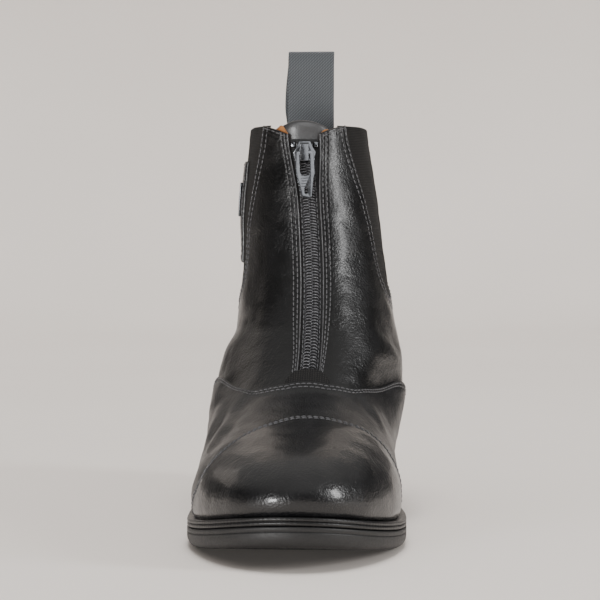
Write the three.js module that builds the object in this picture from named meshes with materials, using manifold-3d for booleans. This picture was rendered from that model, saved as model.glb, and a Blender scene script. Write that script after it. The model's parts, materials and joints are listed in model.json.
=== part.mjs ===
// Zip-front paddock boot for the wearer's right foot, in millimetres, +Z up, toe towards -Y.
// Stations run along the boot from the tip of the toe (0) to the back of the heel.
// Lateral is -X and medial is +X.

import * as THREE from 'three'
import { mergeVertices } from 'three/addons/utils/BufferGeometryUtils.js'
import Module from 'manifold-3d'

const wasm = await Module()
wasm.setup()

// Driving sizes of the last and the sole
const soleLength = 282
const ballWidth = 96
const instepHeight = 64
const shaftWidth = 64
const collarHeight = 202.3
const heelHeight = 26
const toeSpring = 12
const foreThickness = 13
const seatThickness = 10.5
const toeRound = 76

// Leather, board and clearances
const wall = 2
const clearance = 0.3
const vampThickness = 1
const capThickness = 1.5
const insoleThickness = 2.6
const collarDip = 7.4
const collarDipWidth = 15

// Sole edge
const weltWidth = 6
const seatWeltWidth = 5
const weltHeight = 4
const weltInset = 14
const bevel = 4
const breastLean = 3
const heelTaper = 2.4
const heelChamfer = 0.8
const topLiftHeight = 6
const grooveDepth = 0.6

// Zip, its slider and its pull
const zipBottom = 77
const zipOpening = 11.3
const zipFlare = 5.6
const zipFlareLength = 35
const zipFlareDrop = 5
const tapeWidth = 22
const tapeThickness = 0.8
const tapeTail = 2
const coilWidth = 7.2
const coilThickness = 1.6
const sliderLength = 10
const sliderWidth = 11.6
const sliderThickness = 1.6
const sliderDrop = 14.5
const flangeWall = 1.2
const bridgeWidth = 4.4
const bridgeWall = 1
const pullLength = 24
const pullWidth = 9.4
const pullThickness = 1.2
const pullEyeLength = 13
const pullTilt = 2.5
const pullSway = -3
const pullBar = 1.6
const pullEyeWidth = 5.5
const pullEyeCorner = 0.4
const pullNeck = 8
const pullFoot = 4.2
const pullCorner = 0.6
const pullSlotWidth = 1.8
const pullSlotLength = 3.6
const pullSlotDrop = 1.8
const bridgeSpan = 10.4
const bridgeFoot = 1.6
const pivotRise = 1.1
const pivotHeight = -1
const stopHeight = 3
const stopWidth = 2.2
const stopFromMiddle = 6.1
const stopDrop = 1.6

// Tongue, gores, badge and pull loop
const tongueWidth = 31
const tongueRise = 2
const tongueThickness = 1.6
const tongueBottom = 84
const tongueCorner = 9
const goreTopWidth = 58
const goreWaistWidth = 42
const goreBottom = 110
const goreFlareLength = 60
const goreBehindFront = 41.7
const goreThickness = 1.4
const goreOverlap = 4
const badgeWidth = 22
const badgeHeight = 54
const badgeThickness = 2.6
const badgeBottom = 130
const barWidth = 7
const barHeight = 18
const barRise = 24.5
const barThickness = 1.2
const loopWidth = 26
const loopRise = 45
const loopSeat = 19
const loopMiddle = -1
const loopOpen = 12
const webbingThickness = 1.6
const moonWidth = 22
const moonHeight = 5.6
const moonThickness = 0.8

// Places along the sole, as shares of its length
const springEnd = 0.3
const archStart = 0.37
const seatFrom = 0.4
const seatTo = 0.6
const heelBreast = 0.72
const edgeFrom = 0.4
const edgeTo = 0.7

// How finely the curved skins are faceted
const around = 48
const along = 22
const capSteps = 14
const vampSteps = 16
const goreSteps = 10
const goreSideSteps = 5
const moonSteps = 10
const slitSteps = 12
const zipSteps = 18

function sections(columns, rows) {
  return rows.map(row => Object.fromEntries(columns.map((column, i) => [column, row[i]])))
}

// Sections of the foot. Station is a share of the sole length, widths and centre are shares of
// the ball width, ridge and level are shares of the instep height above the feather line, and
// the tucks say how far each side draws in below its widest level.
const footSections = sections([
  'station', 'lateral', 'medial', 'ridge', 'level', 'centre', 'tuckLateral', 'tuckMedial'
], [
  [0.000, 0.427, 0.432, 0.516, 0.172, 0.031, 0.30, 0.30],
  [0.106, 0.443, 0.474, 0.586, 0.172, 0.047, 0.33, 0.33],
  [0.213, 0.479, 0.506, 0.672, 0.156, 0.057, 0.35, 0.35],
  [0.319, 0.498, 0.512, 0.789, 0.141, 0.062, 0.34, 0.36],
  [0.408, 0.500, 0.496, 0.914, 0.156, 0.062, 0.38, 0.50],
  [0.496, 0.490, 0.482, 1.000, 0.300, 0.052, 0.54, 0.72],
  [0.603, 0.480, 0.530, 1.030, 0.520, 0.045, 0.66, 0.84],
  [0.700, 0.425, 0.490, 0.980, 0.560, 0.030, 0.70, 0.84],
  [0.800, 0.350, 0.375, 0.860, 0.500, 0.010, 0.70, 0.74],
  [0.887, 0.300, 0.310, 0.700, 0.450, 0.000, 0.60, 0.60]
])

// Sections of the leg. Height is a share of the rise from the seat to the collar, front and back
// are shares of the sole length, widths and centre are shares of the shaft width.
const legSections = sections(['height', 'front', 'back', 'lateral', 'medial', 'centre'], [
  [-0.063, 0.532, 0.972, 0.453, 0.453, 0.000],
  [0.051, 0.496, 0.985, 0.500, 0.500, 0.010],
  [0.142, 0.433, 0.986, 0.555, 0.580, 0.030],
  [0.214, 0.411, 0.981, 0.610, 0.700, 0.060],
  [0.286, 0.429, 0.971, 0.625, 0.765, 0.080],
  [0.370, 0.465, 0.960, 0.584, 0.738, 0.086],
  [0.467, 0.495, 0.952, 0.562, 0.691, 0.086],
  [0.575, 0.520, 0.946, 0.547, 0.644, 0.078],
  [0.684, 0.537, 0.944, 0.552, 0.609, 0.062],
  [0.792, 0.549, 0.946, 0.544, 0.572, 0.041],
  [0.901, 0.557, 0.950, 0.519, 0.531, 0.016],
  [1.021, 0.562, 0.957, 0.491, 0.494, -0.008]
])

// Where the skin's rows start from inside the boot, from feather line (share 0) to collar (1).
// Stations are shares of the sole length, heights are shares of the collar height, and tilt is
// the front rows' direction above level, in degrees.
const castRows = sections(['share', 'front', 'frontHeight', 'tilt', 'back', 'backHeight'], [
  [0.00, 0.213, 0.109, 0, 0.837, 0.178],
  [0.06, 0.213, 0.116, 12, 0.836, 0.222],
  [0.12, 0.213, 0.128, 28, 0.834, 0.264],
  [0.18, 0.220, 0.138, 45, 0.832, 0.306],
  [0.24, 0.234, 0.148, 62, 0.831, 0.346],
  [0.30, 0.264, 0.158, 74, 0.829, 0.388],
  [0.36, 0.312, 0.170, 80, 0.827, 0.430],
  [0.42, 0.369, 0.190, 80, 0.823, 0.476],
  [0.50, 0.447, 0.232, 76, 0.818, 0.540],
  [0.58, 0.525, 0.300, 62, 0.812, 0.612],
  [0.66, 0.596, 0.396, 42, 0.806, 0.690],
  [0.74, 0.645, 0.514, 26, 0.802, 0.764],
  [0.84, 0.695, 0.682, 12, 0.798, 0.854],
  [1.00, 0.738, 1.008, 4, 0.794, 0.998]
])

// The toe cap's rear seam: stations on each side as shares of the sole length, at heights that
// are shares of the instep height above the floor.
const capSeam = sections(['height', 'lateral', 'medial'], [
  [0.14, 0.238, 0.326],
  [0.31, 0.222, 0.320],
  [0.41, 0.206, 0.311],
  [0.50, 0.194, 0.302],
  [0.60, 0.190, 0.296],
  [0.69, 0.195, 0.289],
  [0.78, 0.210, 0.282],
  [0.87, 0.236, 0.274],
  [0.95, 0.266, 0.267],
  [1.20, 0.268, 0.267]
])

// The vamp's upper seam: heights on each side as shares of the instep height above the floor, at
// stations that are shares of the sole length. Ahead of its first row the vamp covers everything.
const vampSeam = sections(['station', 'lateral', 'medial'], [
  [0.394, 1.125, 1.130],
  [0.408, 1.085, 1.098],
  [0.440, 1.072, 1.080],
  [0.480, 1.085, 1.070],
  [0.532, 1.115, 1.075],
  [0.575, 1.120, 1.090],
  [0.605, 1.070, 1.060],
  [0.635, 0.950, 0.950],
  [0.662, 0.760, 0.770],
  [0.684, 0.520, 0.540],
  [0.702, 0.200, 0.220]
])

const leather = new THREE.MeshStandardMaterial({ color: 0x141414, roughness: 0.3, metalness: 0 })
const polished = new THREE.MeshStandardMaterial({ color: 0x101010, roughness: 0.15, metalness: 0 })
const lining = new THREE.MeshStandardMaterial({ color: 0xa8713f, roughness: 0.7, metalness: 0 })
const rubber = new THREE.MeshStandardMaterial({ color: 0x1b1b1c, roughness: 0.75, metalness: 0 })
const elastic = new THREE.MeshStandardMaterial({ color: 0x202124, roughness: 0.9, metalness: 0 })
const webbing = new THREE.MeshStandardMaterial({ color: 0x34373a, roughness: 0.9, metalness: 0 })
const nylon = new THREE.MeshStandardMaterial({ color: 0x151516, roughness: 0.6, metalness: 0 })
const nickel = new THREE.MeshStandardMaterial({ color: 0x6d6f72, roughness: 0.3, metalness: 1 })

// Natural cubic spline through one column of a table
function spline(rows, across, column) {
  const x = rows.map(row => row[across])
  const y = rows.map(row => row[column])
  const last = x.length - 1
  const slope = i => (y[i + 1] - y[i]) / (x[i + 1] - x[i])
  const diagonal = [1]
  const right = [0]
  const upper = [0]
  for (let i = 1; i < last; i++) {
    const before = x[i] - x[i - 1]
    const after = x[i + 1] - x[i]
    const pivot = 2 * (before + after) - before * upper[i - 1]
    diagonal.push(pivot)
    upper.push(after / pivot)
    right.push((6 * (slope(i) - slope(i - 1)) - before * right[i - 1]) / pivot)
  }
  const bend = new Array(last + 1).fill(0)
  for (let i = last - 1; i > 0; i--) bend[i] = right[i] - upper[i] * bend[i + 1]
  return value => {
    const v = THREE.MathUtils.clamp(value, x[0], x[last])
    let i = 0
    while (i < last - 1 && v > x[i + 1]) i++
    const step = x[i + 1] - x[i]
    const a = (x[i + 1] - v) / step
    const b = (v - x[i]) / step
    const curve = ((a ** 3 - a) * bend[i] + (b ** 3 - b) * bend[i + 1]) * step * step / 6
    return a * y[i] + b * y[i + 1] + curve
  }
}

function splines(rows, across) {
  const columns = Object.keys(rows[0]).filter(column => column !== across)
  return Object.fromEntries(columns.map(column => [column, spline(rows, across, column)]))
}

const foot = splines(footSections, 'station')
const leg = splines(legSections, 'height')
const cast = splines(castRows, 'share')
const cap = splines(capSeam, 'height')
const vampEdge = splines(vampSeam, 'station')

// Sole heights along the boot: toe spring, flat tread, arch rising to the seat
const springCurve = 1.8

function tread(station) {
  const share = station / soleLength
  const spring = toeSpring * Math.max(1 - share / springEnd, 0) ** springCurve
  return spring + heelHeight * THREE.MathUtils.smoothstep(share, archStart, heelBreast)
}

function feather(station) {
  const rear = THREE.MathUtils.smoothstep(station / soleLength, seatFrom, seatTo)
  return tread(station) + foreThickness + (seatThickness - foreThickness) * rear
}

// Fullness of the sections, as exponents, and the round of the toe and the rear of the foot
const plump = 2.2
const crown = 2.05
const oval = 2.15
const heelOval = 2.9
const toeTip = 3
const rearStart = 0.709
const rearRound = 0.195
const fieldScale = 38
const blendRadius = 9
const seatTop = heelHeight + seatThickness

function footField(x, station, z) {
  const share = station / soleLength
  const centre = foot.centre(share) * ballWidth
  const side = x < centre ? -foot.lateral(share) * ballWidth : foot.medial(share) * ballWidth
  const tuck = x < centre ? foot.tuckLateral(share) : foot.tuckMedial(share)
  const base = feather(THREE.MathUtils.clamp(station, 0, soleLength))
  const level = foot.level(share) * instepHeight
  const ridge = foot.ridge(share) * instepHeight
  const above = z - base - level
  const rise = above > 0 ? above / (ridge - level) : -tuck * above / level
  const toe = Math.max(1 - (station - toeTip) / toeRound, 0)
  const rear = Math.max((share - rearStart) / rearRound, 0)
  const width = (x - centre) / (side - centre)
  const sum = width ** plump + rise ** crown + toe ** plump + rear ** plump
  return (sum ** (1 / plump) - 1) * fieldScale
}

function legRows(z) {
  const share = (z - seatTop) / (collarHeight - seatTop)
  const read = column => leg[column](share)
  return {
    front: read('front') * soleLength,
    back: read('back') * soleLength,
    lateral: -read('lateral') * shaftWidth,
    medial: read('medial') * shaftWidth,
    centre: read('centre') * shaftWidth
  }
}

function legField(x, station, z) {
  const row = legRows(z)
  const middle = (row.front + row.back) / 2
  const width = (x - row.centre) / ((x < row.centre ? row.lateral : row.medial) - row.centre)
  const depth = Math.abs(station - middle) / ((row.back - row.front) / 2)
  const heelShare = 1 - THREE.MathUtils.smoothstep(z, seatTop, collarHeight / 2)
  const round = station > middle ? oval + (heelOval - oval) * heelShare : oval
  return ((width ** round + depth ** round) ** (1 / round) - 1) * fieldScale
}

// Negative inside the boot, positive outside: the foot and the leg with a soft fold between them
function field(x, station, z) {
  const a = footField(x, station, z)
  const b = legField(x, station, z)
  const mix = THREE.MathUtils.clamp(0.5 + (b - a) / (2 * blendRadius), 0, 1)
  return b + (a - b) * mix - blendRadius * mix * (1 - mix)
}

function toWorld(x, station, z) {
  return new THREE.Vector3(x, station - soleLength / 2, z)
}

function outward(point) {
  const station = point.y + soleLength / 2
  const nudge = 0.05
  const slope = (dx, ds, dz) =>
    field(point.x + dx, station + ds, point.z + dz) - field(point.x - dx, station - ds, point.z - dz)
  return new THREE.Vector3(slope(nudge, 0, 0), slope(0, nudge, 0), slope(0, 0, nudge)).normalize()
}

// Follows a ray from inside the boot to its skin
function reach(start, direction, steps = 34) {
  let near = 0
  let far = soleLength
  const at = distance => start.clone().addScaledVector(direction, distance)
  for (let i = 0; i < steps; i++) {
    const middle = (near + far) / 2
    const point = at(middle)
    if (field(point.x, point.y + soleLength / 2, point.z) > 0) far = middle
    else near = middle
  }
  return at((near + far) / 2)
}

function collarEdge(point) {
  const row = legRows(collarHeight)
  const dip = Math.exp(-(((point.x - row.centre) / collarDipWidth) ** 2))
  const front = point.y + soleLength / 2 < (row.front + row.back) / 2
  return collarHeight - (front ? collarDip * dip : 0)
}

// A point of the skin by its turn around the boot and its share from feather line to collar. The
// starts of the rays near a rim are raised with the rim's own start, fading out within these shares.
const lowFade = 0.35
const highFade = 0.4
const settleSteps = 12

function skinPoint(turn, share) {
  const angle = turn * Math.PI * 2
  const forward = Math.cos(angle)
  const toBack = (1 - forward) / 2
  const tilt = THREE.MathUtils.degToRad(cast.tilt(share))
  const station = THREE.MathUtils.lerp(cast.front(share), cast.back(share), toBack) * soleLength
  const height = THREE.MathUtils.lerp(cast.frontHeight(share), cast.backHeight(share), toBack)
  const middle = foot.centre(share / 2) * ballWidth * (1 - share) * (1 - toBack)
  const flat = forward > 0 ? Math.cos(tilt) : 1
  const lift = forward > 0 ? forward * Math.sin(tilt) : 0
  const direction = new THREE.Vector3(Math.sin(angle), -forward * flat, lift).normalize()
  const start = toWorld(middle, station, height * collarHeight)
  let point = reach(start, direction)
  const edge = share < 0.5 ? p => feather(p.y + soleLength / 2) + clearance : collarEdge
  const fade = share < 0.5 ? 1 - share / lowFade : 1 - (1 - share) / highFade
  const pull = Math.max(fade, 0) ** 2
  if (pull === 0) return point
  const rim = share < 0.5 ? 0 : 1
  const atRim = share === rim ? null : skinStart(turn, rim)
  if (atRim !== null) {
    start.z += atRim * pull
    return reach(start, direction)
  }
  for (let i = 0; i < settleSteps; i++) {
    start.z += edge(point) - point.z
    point = reach(start, direction)
  }
  point.z = edge(point)
  skinShift.set(`${turn} ${rim}`, start.z - height * collarHeight)
  return point
}

// How far the start of a rim's ray was raised to bring that rim to its own height
const skinShift = new Map()

function skinStart(turn, rim) {
  const key = `${turn} ${rim}`
  if (!skinShift.has(key)) skinPoint(turn, rim)
  return skinShift.get(key)
}

// The skin as rows of points and their outward directions, level at both rims
const skin = []
for (let row = 0; row <= along; row++) {
  const points = []
  for (let column = 0; column < around; column++) {
    const point = skinPoint(column / around, row / along)
    const normal = outward(point)
    if (row === 0 || row === along) normal.setZ(0).normalize()
    points.push({ point, normal })
  }
  skin.push(points)
}

function skinAt(offset) {
  return skin.map((row, i) => row.map(({ point, normal }) => {
    const moved = point.clone().addScaledVector(normal, offset)
    if (i === 0) moved.z = feather(moved.y + soleLength / 2) + clearance
    if (i === along) moved.z = collarEdge(moved)
    return moved
  }))
}

// Joins two grids of points, outer and inner, into one closed solid. Wrapped grids close on
// themselves around the boot, the others get side walls.
function between(outer, inner, wrapped) {
  const rows = outer.length
  const columns = outer[0].length
  const positions = [...outer.flat(), ...inner.flat()].flatMap(p => [p.x, p.y, p.z])
  const index = []
  const lower = rows * columns
  const quad = (a, b, c, d) => index.push(a, b, c, a, c, d)
  const spans = wrapped ? columns : columns - 1
  for (let i = 0; i < rows - 1; i++) {
    for (let j = 0; j < spans; j++) {
      const k = (j + 1) % columns
      const [a, b, c, d] = [i * columns + j, i * columns + k, (i + 1) * columns + k, (i + 1) * columns + j]
      quad(a, b, c, d)
      quad(lower + a, lower + d, lower + c, lower + b)
    }
  }
  const top = (rows - 1) * columns
  for (let j = 0; j < spans; j++) {
    const k = (j + 1) % columns
    quad(lower + j, lower + k, k, j)
    quad(top + j, top + k, lower + top + k, lower + top + j)
  }
  if (!wrapped) {
    for (let i = 0; i < rows - 1; i++) {
      const [a, d] = [i * columns, (i + 1) * columns]
      const [b, c] = [a + columns - 1, d + columns - 1]
      quad(lower + d, lower + a, a, d)
      quad(b, lower + b, lower + c, c)
    }
  }
  return closed(positions, index)
}

// Stacks rings of points and closes both ends with strips between facing points
function stack(rings) {
  const n = rings[0].length
  const positions = rings.flat().flatMap(p => [p.x, p.y, p.z])
  const index = []
  for (let i = 0; i < rings.length - 1; i++) {
    for (let j = 0; j < n; j++) {
      const k = (j + 1) % n
      const [a, b, c, d] = [i * n + j, i * n + k, (i + 1) * n + k, (i + 1) * n + j]
      index.push(a, b, c, a, c, d)
    }
  }
  const end = (rings.length - 1) * n
  for (let j = 0; j < n / 2; j++) {
    const [a, b, c, d] = [j, j + 1, n - j - 1, (n - j) % n]
    for (const [p, q, r] of [[a, c, b], [a, d, c]]) {
      if (p === q || q === r || p === r) continue
      index.push(p, q, r, end + p, end + r, end + q)
    }
  }
  return closed(positions, index)
}

// Carries a closed profile of rings around the boot, as a tyre on its rim
function hoop(rings) {
  const n = rings[0].length
  const positions = rings.flat().flatMap(p => [p.x, p.y, p.z])
  const index = []
  for (let i = 0; i < rings.length; i++) {
    const next = (i + 1) % rings.length
    for (let j = 0; j < n; j++) {
      const k = (j + 1) % n
      index.push(i * n + j, i * n + k, next * n + k, i * n + j, next * n + k, next * n + j)
    }
  }
  return closed(positions, index)
}

// Faces point out: a shape wound the other way is turned
function closed(positions, index) {
  const corner = i => new THREE.Vector3().fromArray(positions, i * 3)
  let volume = 0
  for (let i = 0; i < index.length; i += 3) {
    volume += corner(index[i]).dot(corner(index[i + 1]).cross(corner(index[i + 2])))
  }
  if (volume < 0) index.reverse()
  const geometry = new THREE.BufferGeometry()
  geometry.setAttribute('position', new THREE.Float32BufferAttribute(positions, 3))
  geometry.setIndex(index)
  return geometry
}

function solid(geometry) {
  const bare = geometry.clone()
  bare.deleteAttribute('normal')
  bare.deleteAttribute('uv')
  const merged = mergeVertices(bare, 0.0001)
  const vertProperties = new Float32Array(merged.attributes.position.array)
  const triVerts = new Uint32Array(merged.index.array)
  return new wasm.Manifold(new wasm.Mesh({ numProp: 3, vertProperties, triVerts }))
}

function geometryOf(manifold) {
  const mesh = manifold.getMesh()
  const geometry = new THREE.BufferGeometry()
  geometry.setAttribute('position', new THREE.BufferAttribute(new Float32Array(mesh.vertProperties), 3))
  geometry.setIndex(new THREE.BufferAttribute(new Uint32Array(mesh.triVerts), 1))
  return geometry
}

// An outline seen from the side, as stations and heights, carried across from one x to another
function sidePrism(outline, fromX, toX) {
  const shape = new THREE.Shape(outline.map(([station, z]) => new THREE.Vector2(station, z)))
  const geometry = new THREE.ExtrudeGeometry(shape, { depth: toX - fromX, bevelEnabled: false })
  const turn = new THREE.Matrix4().makeBasis(
    new THREE.Vector3(0, 1, 0), new THREE.Vector3(0, 0, 1), new THREE.Vector3(1, 0, 0))
  return geometry.applyMatrix4(turn.setPosition(fromX, -soleLength / 2, 0))
}

// An outline seen from the front, as x and heights, carried back from one station to another
function frontPrism(outline, fromStation, toStation) {
  const shape = new THREE.Shape(outline.map(([x, z]) => new THREE.Vector2(x, z)))
  const geometry = new THREE.ExtrudeGeometry(shape, { depth: toStation - fromStation, bevelEnabled: false })
  const turn = new THREE.Matrix4().makeBasis(
    new THREE.Vector3(1, 0, 0), new THREE.Vector3(0, 0, 1), new THREE.Vector3(0, -1, 0))
  return geometry.applyMatrix4(turn.setPosition(0, toStation - soleLength / 2, 0))
}

const boot = new THREE.Group()

function add(name, geometry, material, parent = boot) {
  const mesh = new THREE.Mesh(geometry, material)
  mesh.name = name
  parent.add(mesh)
  return mesh
}

// Plan outline of the feather line, let out or drawn in level by a width
const featherRing = skin[0]

function outline(width, height) {
  return featherRing.map(({ point, normal }) => {
    const rear = THREE.MathUtils.smoothstep(point.y / soleLength + 0.5, edgeFrom, edgeTo)
    const out = width(rear)
    const moved = point.clone().addScaledVector(normal, out)
    moved.z = height(moved.y + soleLength / 2)
    return moved
  })
}

const weltEdge = inset => rear => THREE.MathUtils.lerp(weltWidth, seatWeltWidth, rear) - inset
const outsoleTop = station => feather(station) - weltHeight - clearance

// The tread's rounded lower edge, as shares of the bevel
const soleEdge = sections(['inset', 'rise'], [
  [1.00, 0.00],
  [0.33, 0.25],
  [0.08, 0.70],
  [0.00, 1.10]
])

function outsole() {
  return stack([
    ...soleEdge.map(({ inset, rise }) => outline(weltEdge(inset * bevel), s => tread(s) + rise * bevel)),
    outline(weltEdge(0), s => outsoleTop(s) - grooveDepth),
    outline(weltEdge(grooveDepth), outsoleTop),
    outline(weltEdge(weltInset + clearance), outsoleTop),
    outline(weltEdge(weltInset + clearance), feather)
  ])
}

// Where the welt's round side starts and ends, as a share of its height from either face
const weltRound = 0.3

function welt() {
  const bottom = station => feather(station) - weltHeight
  return hoop([
    outline(weltEdge(grooveDepth), bottom),
    outline(weltEdge(0), s => bottom(s) + weltHeight * weltRound),
    outline(weltEdge(0), s => bottom(s) + weltHeight * (1 - weltRound)),
    outline(weltEdge(grooveDepth), feather),
    outline(weltEdge(weltInset), feather),
    outline(weltEdge(weltInset), bottom)
  ])
}

function heel() {
  const flat = height => () => height
  const side = height => heelTaper * (1 - height / heelHeight) + clearance
  const rings = [
    [side(0) + heelChamfer, 0],
    [side(0), heelChamfer],
    [side(topLiftHeight), topLiftHeight - grooveDepth],
    [side(topLiftHeight) + grooveDepth, topLiftHeight],
    [side(topLiftHeight), topLiftHeight + grooveDepth],
    [side(heelHeight), heelHeight - clearance]
  ].map(([inset, height]) => outline(weltEdge(inset), flat(height)))
  const breast = heelBreast * soleLength
  const beyond = soleLength + weltWidth
  const rear = sidePrism(
    [[breast + breastLean, -1], [beyond, -1], [beyond, heelHeight], [breast, heelHeight]],
    -ballWidth, ballWidth)
  return geometryOf(solid(stack(rings)).intersect(solid(rear)))
}

function insole() {
  const width = () => -wall - clearance
  return stack([
    outline(width, s => feather(s) + clearance),
    outline(width, s => feather(s) + clearance + insoleThickness)
  ])
}

// The zip throat seen from the front: straight sides that flare towards the collar
const zipTop = collarHeight + collarDip

function zipMiddle(z) {
  return legRows(z).centre
}

function slitHalf(z) {
  const flareTop = collarHeight - zipFlareDrop
  const flare = THREE.MathUtils.smoothstep(z, flareTop - zipFlareLength, flareTop)
  return zipOpening / 2 + zipFlare / 2 * flare
}

function zipSlit() {
  const left = []
  const right = []
  for (let i = 0; i <= slitSteps; i++) {
    const z = THREE.MathUtils.lerp(zipBottom, zipTop, i / slitSteps)
    left.push([zipMiddle(z) - slitHalf(z), z])
    right.unshift([zipMiddle(z) + slitHalf(z), z])
  }
  return frontPrism([...right, ...left], 0, goreStation - goreTopWidth / 2)
}

// The gore seen from the side: wide at the collar, straight to the ankle, round at the bottom. Its
// middle lies a set way behind the front of the collar.
const goreStation = legRows(collarHeight).front + goreBehindFront

function goreHalf(z) {
  const bend = THREE.MathUtils.smoothstep(z, collarHeight - goreFlareLength, collarHeight)
  return (goreWaistWidth + (goreTopWidth - goreWaistWidth) * bend) / 2
}

function goreOutline(margin, top) {
  const radius = goreWaistWidth / 2 + margin
  const points = []
  for (let i = 0; i <= goreSteps; i++) {
    const angle = Math.PI * (1 + i / goreSteps)
    const z = goreBottom - margin + radius * (1 + Math.sin(angle))
    points.push([goreStation + radius * Math.cos(angle), z])
  }
  const start = goreBottom - margin + radius
  for (const side of [1, -1]) {
    for (let i = 1; i <= goreSideSteps; i++) {
      const step = side > 0 ? i : goreSideSteps + 1 - i
      const z = THREE.MathUtils.lerp(start, top, step / goreSideSteps)
      points.push([goreStation + side * (goreHalf(z) + margin), z])
    }
  }
  return points
}

function goreCutter(side, margin, top) {
  const reachOut = shaftWidth * side
  return sidePrism(goreOutline(margin, top), Math.min(reachOut, 0), Math.max(reachOut, 0))
}

const body = solid(between(skinAt(0), skinAt(-wall), true))

function upper() {
  const cutTop = collarHeight + collarDip
  return geometryOf(body
    .subtract(solid(zipSlit()))
    .subtract(solid(goreCutter(-1, 0, cutTop)))
    .subtract(solid(goreCutter(1, 0, cutTop))))
}

// A slab over part of the skin, between two offsets, with its points found by place(u, v)
function slab(place, rows, columns, low, high) {
  const grid = offset => {
    const lines = []
    for (let i = 0; i <= rows; i++) {
      const line = []
      for (let j = 0; j <= columns; j++) {
        const point = place(i / rows, j / columns)
        line.push(point.clone().addScaledVector(outward(point), offset))
      }
      lines.push(line)
    }
    return lines
  }
  return between(grid(high), grid(low), false)
}

const ahead = new THREE.Vector3(0, -1, 0)

function frontPoint(x, z) {
  const row = legRows(z)
  return reach(toWorld(x, (row.front + row.back) / 2, z), ahead)
}

function sidePoint(side, station, z) {
  return reach(toWorld(legRows(z).centre, station, z), new THREE.Vector3(side, 0, 0))
}

function frontStrip(width, low, high, fromZ, toZ, rows, columns) {
  const place = (u, v) => {
    const z = THREE.MathUtils.lerp(fromZ, toZ, u)
    return frontPoint(zipMiddle(z) + (v - 0.5) * width(z), z)
  }
  return slab(place, rows, columns, low, high)
}

const tapeTop = -wall - clearance
const coilBottom = tapeTop + clearance
const tongueTop = tapeTop - tapeThickness - clearance
const sliderTop = collarHeight - collarDip - clearance
const stopBottom = sliderTop - stopHeight - stopDrop
const bridgeTop = sliderThickness + 2 * pivotRise + bridgeWall + clearance / 3
const badgeSeat = -wall

function tongue() {
  const top = collarHeight + tongueRise
  const blunt = 0.93
  const width = z => {
    const rise = Math.max((z - top) / tongueCorner + 1, 0) * blunt
    return tongueWidth * Math.sqrt(1 - rise ** 2)
  }
  return frontStrip(width, tongueTop - tongueThickness, tongueTop, tongueBottom, top, zipSteps, 6)
}

function gore(side) {
  const place = (u, v) => {
    const z = THREE.MathUtils.lerp(goreBottom - 2 * goreOverlap, collarHeight, u)
    return sidePoint(side, goreStation + (v - 0.5) * (goreTopWidth + 3 * goreOverlap), z)
  }
  const panel = slab(place, 10, 10, -wall - clearance - goreThickness, -wall - clearance)
  return geometryOf(solid(panel).intersect(solid(goreCutter(side, goreOverlap, collarHeight + collarDip))))
}

// Side outline of the vamp, from below the sole to its seam
function vampOutline(side, gap = 0) {
  const column = side < 0 ? 'lateral' : 'medial'
  const first = vampSeam[0].station
  const last = vampSeam[vampSeam.length - 1].station
  const points = [[-weltWidth, -1], [-weltWidth, collarHeight]]
  points.push([first * soleLength + gap, collarHeight])
  for (let i = 0; i <= vampSteps; i++) {
    const station = THREE.MathUtils.lerp(first, last, i / vampSteps)
    points.push([station * soleLength + gap, vampEdge[column](station) * instepHeight + gap])
  }
  points.push([last * soleLength + gap, -1])
  return points.reverse()
}

// Side outline of the toe cap, let out to leave a gap to the vamp behind it
function capOutline(side, gap) {
  const column = side < 0 ? 'lateral' : 'medial'
  const first = capSeam[0].height
  const last = capSeam[capSeam.length - 1].height
  const points = [[-weltWidth, -1]]
  for (let i = 0; i <= capSteps; i++) {
    const height = THREE.MathUtils.lerp(first, last, i / capSteps)
    points.push([cap[column](height) * soleLength + gap, i === 0 ? -1 : height * instepHeight])
  }
  points.push([-weltWidth, last * instepHeight])
  return points
}

function bothSides(outlineOf) {
  const lateral = solid(sidePrism(outlineOf(-1), -ballWidth, 0))
  return lateral.add(solid(sidePrism(outlineOf(1), 0, ballWidth)))
}

function overlay(thickness) {
  return solid(between(skinAt(clearance + thickness), skinAt(clearance), true))
}

function vamp() {
  const region = bothSides(vampOutline).subtract(bothSides(side => capOutline(side, clearance)))
  return geometryOf(overlay(vampThickness).intersect(region))
}

function toeCap() {
  return geometryOf(overlay(capThickness).intersect(bothSides(side => capOutline(side, 0))))
}

function zipTape() {
  const width = () => tapeWidth
  return frontStrip(width, tapeTop - tapeThickness, tapeTop, zipBottom - tapeTail, sliderTop, zipSteps, 6)
}

function zipCoil() {
  const width = () => coilWidth
  const top = sliderHeight + sliderLength / 2
  const bottom = zipBottom + wall + clearance
  return frontStrip(width, coilBottom, coilBottom + coilThickness, bottom, top, zipSteps, 2)
}

function zipStop(side) {
  const place = (u, v) => {
    const z = stopBottom + stopHeight * u
    return frontPoint(zipMiddle(z) + side * (stopFromMiddle + stopWidth * (v - 0.5)), z)
  }
  return slab(place, 1, 1, coilBottom, coilBottom + coilThickness)
}

// A plate seen from the front in its own frame, with its front face at y = front
function plate(shape, front, thickness) {
  const geometry = new THREE.ExtrudeGeometry(shape, { depth: thickness, bevelEnabled: false, curveSegments: 4 })
  const turn = new THREE.Matrix4().makeBasis(
    new THREE.Vector3(1, 0, 0), new THREE.Vector3(0, 0, 1), new THREE.Vector3(0, -1, 0))
  return geometry.applyMatrix4(turn.setPosition(0, front + thickness, 0))
}

function mirrored(halfOutline) {
  const right = halfOutline.map(([x, z]) => new THREE.Vector2(x, z))
  const left = halfOutline.map(([x, z]) => new THREE.Vector2(-x, z)).reverse()
  return new THREE.Shape([...right, ...left])
}

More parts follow.
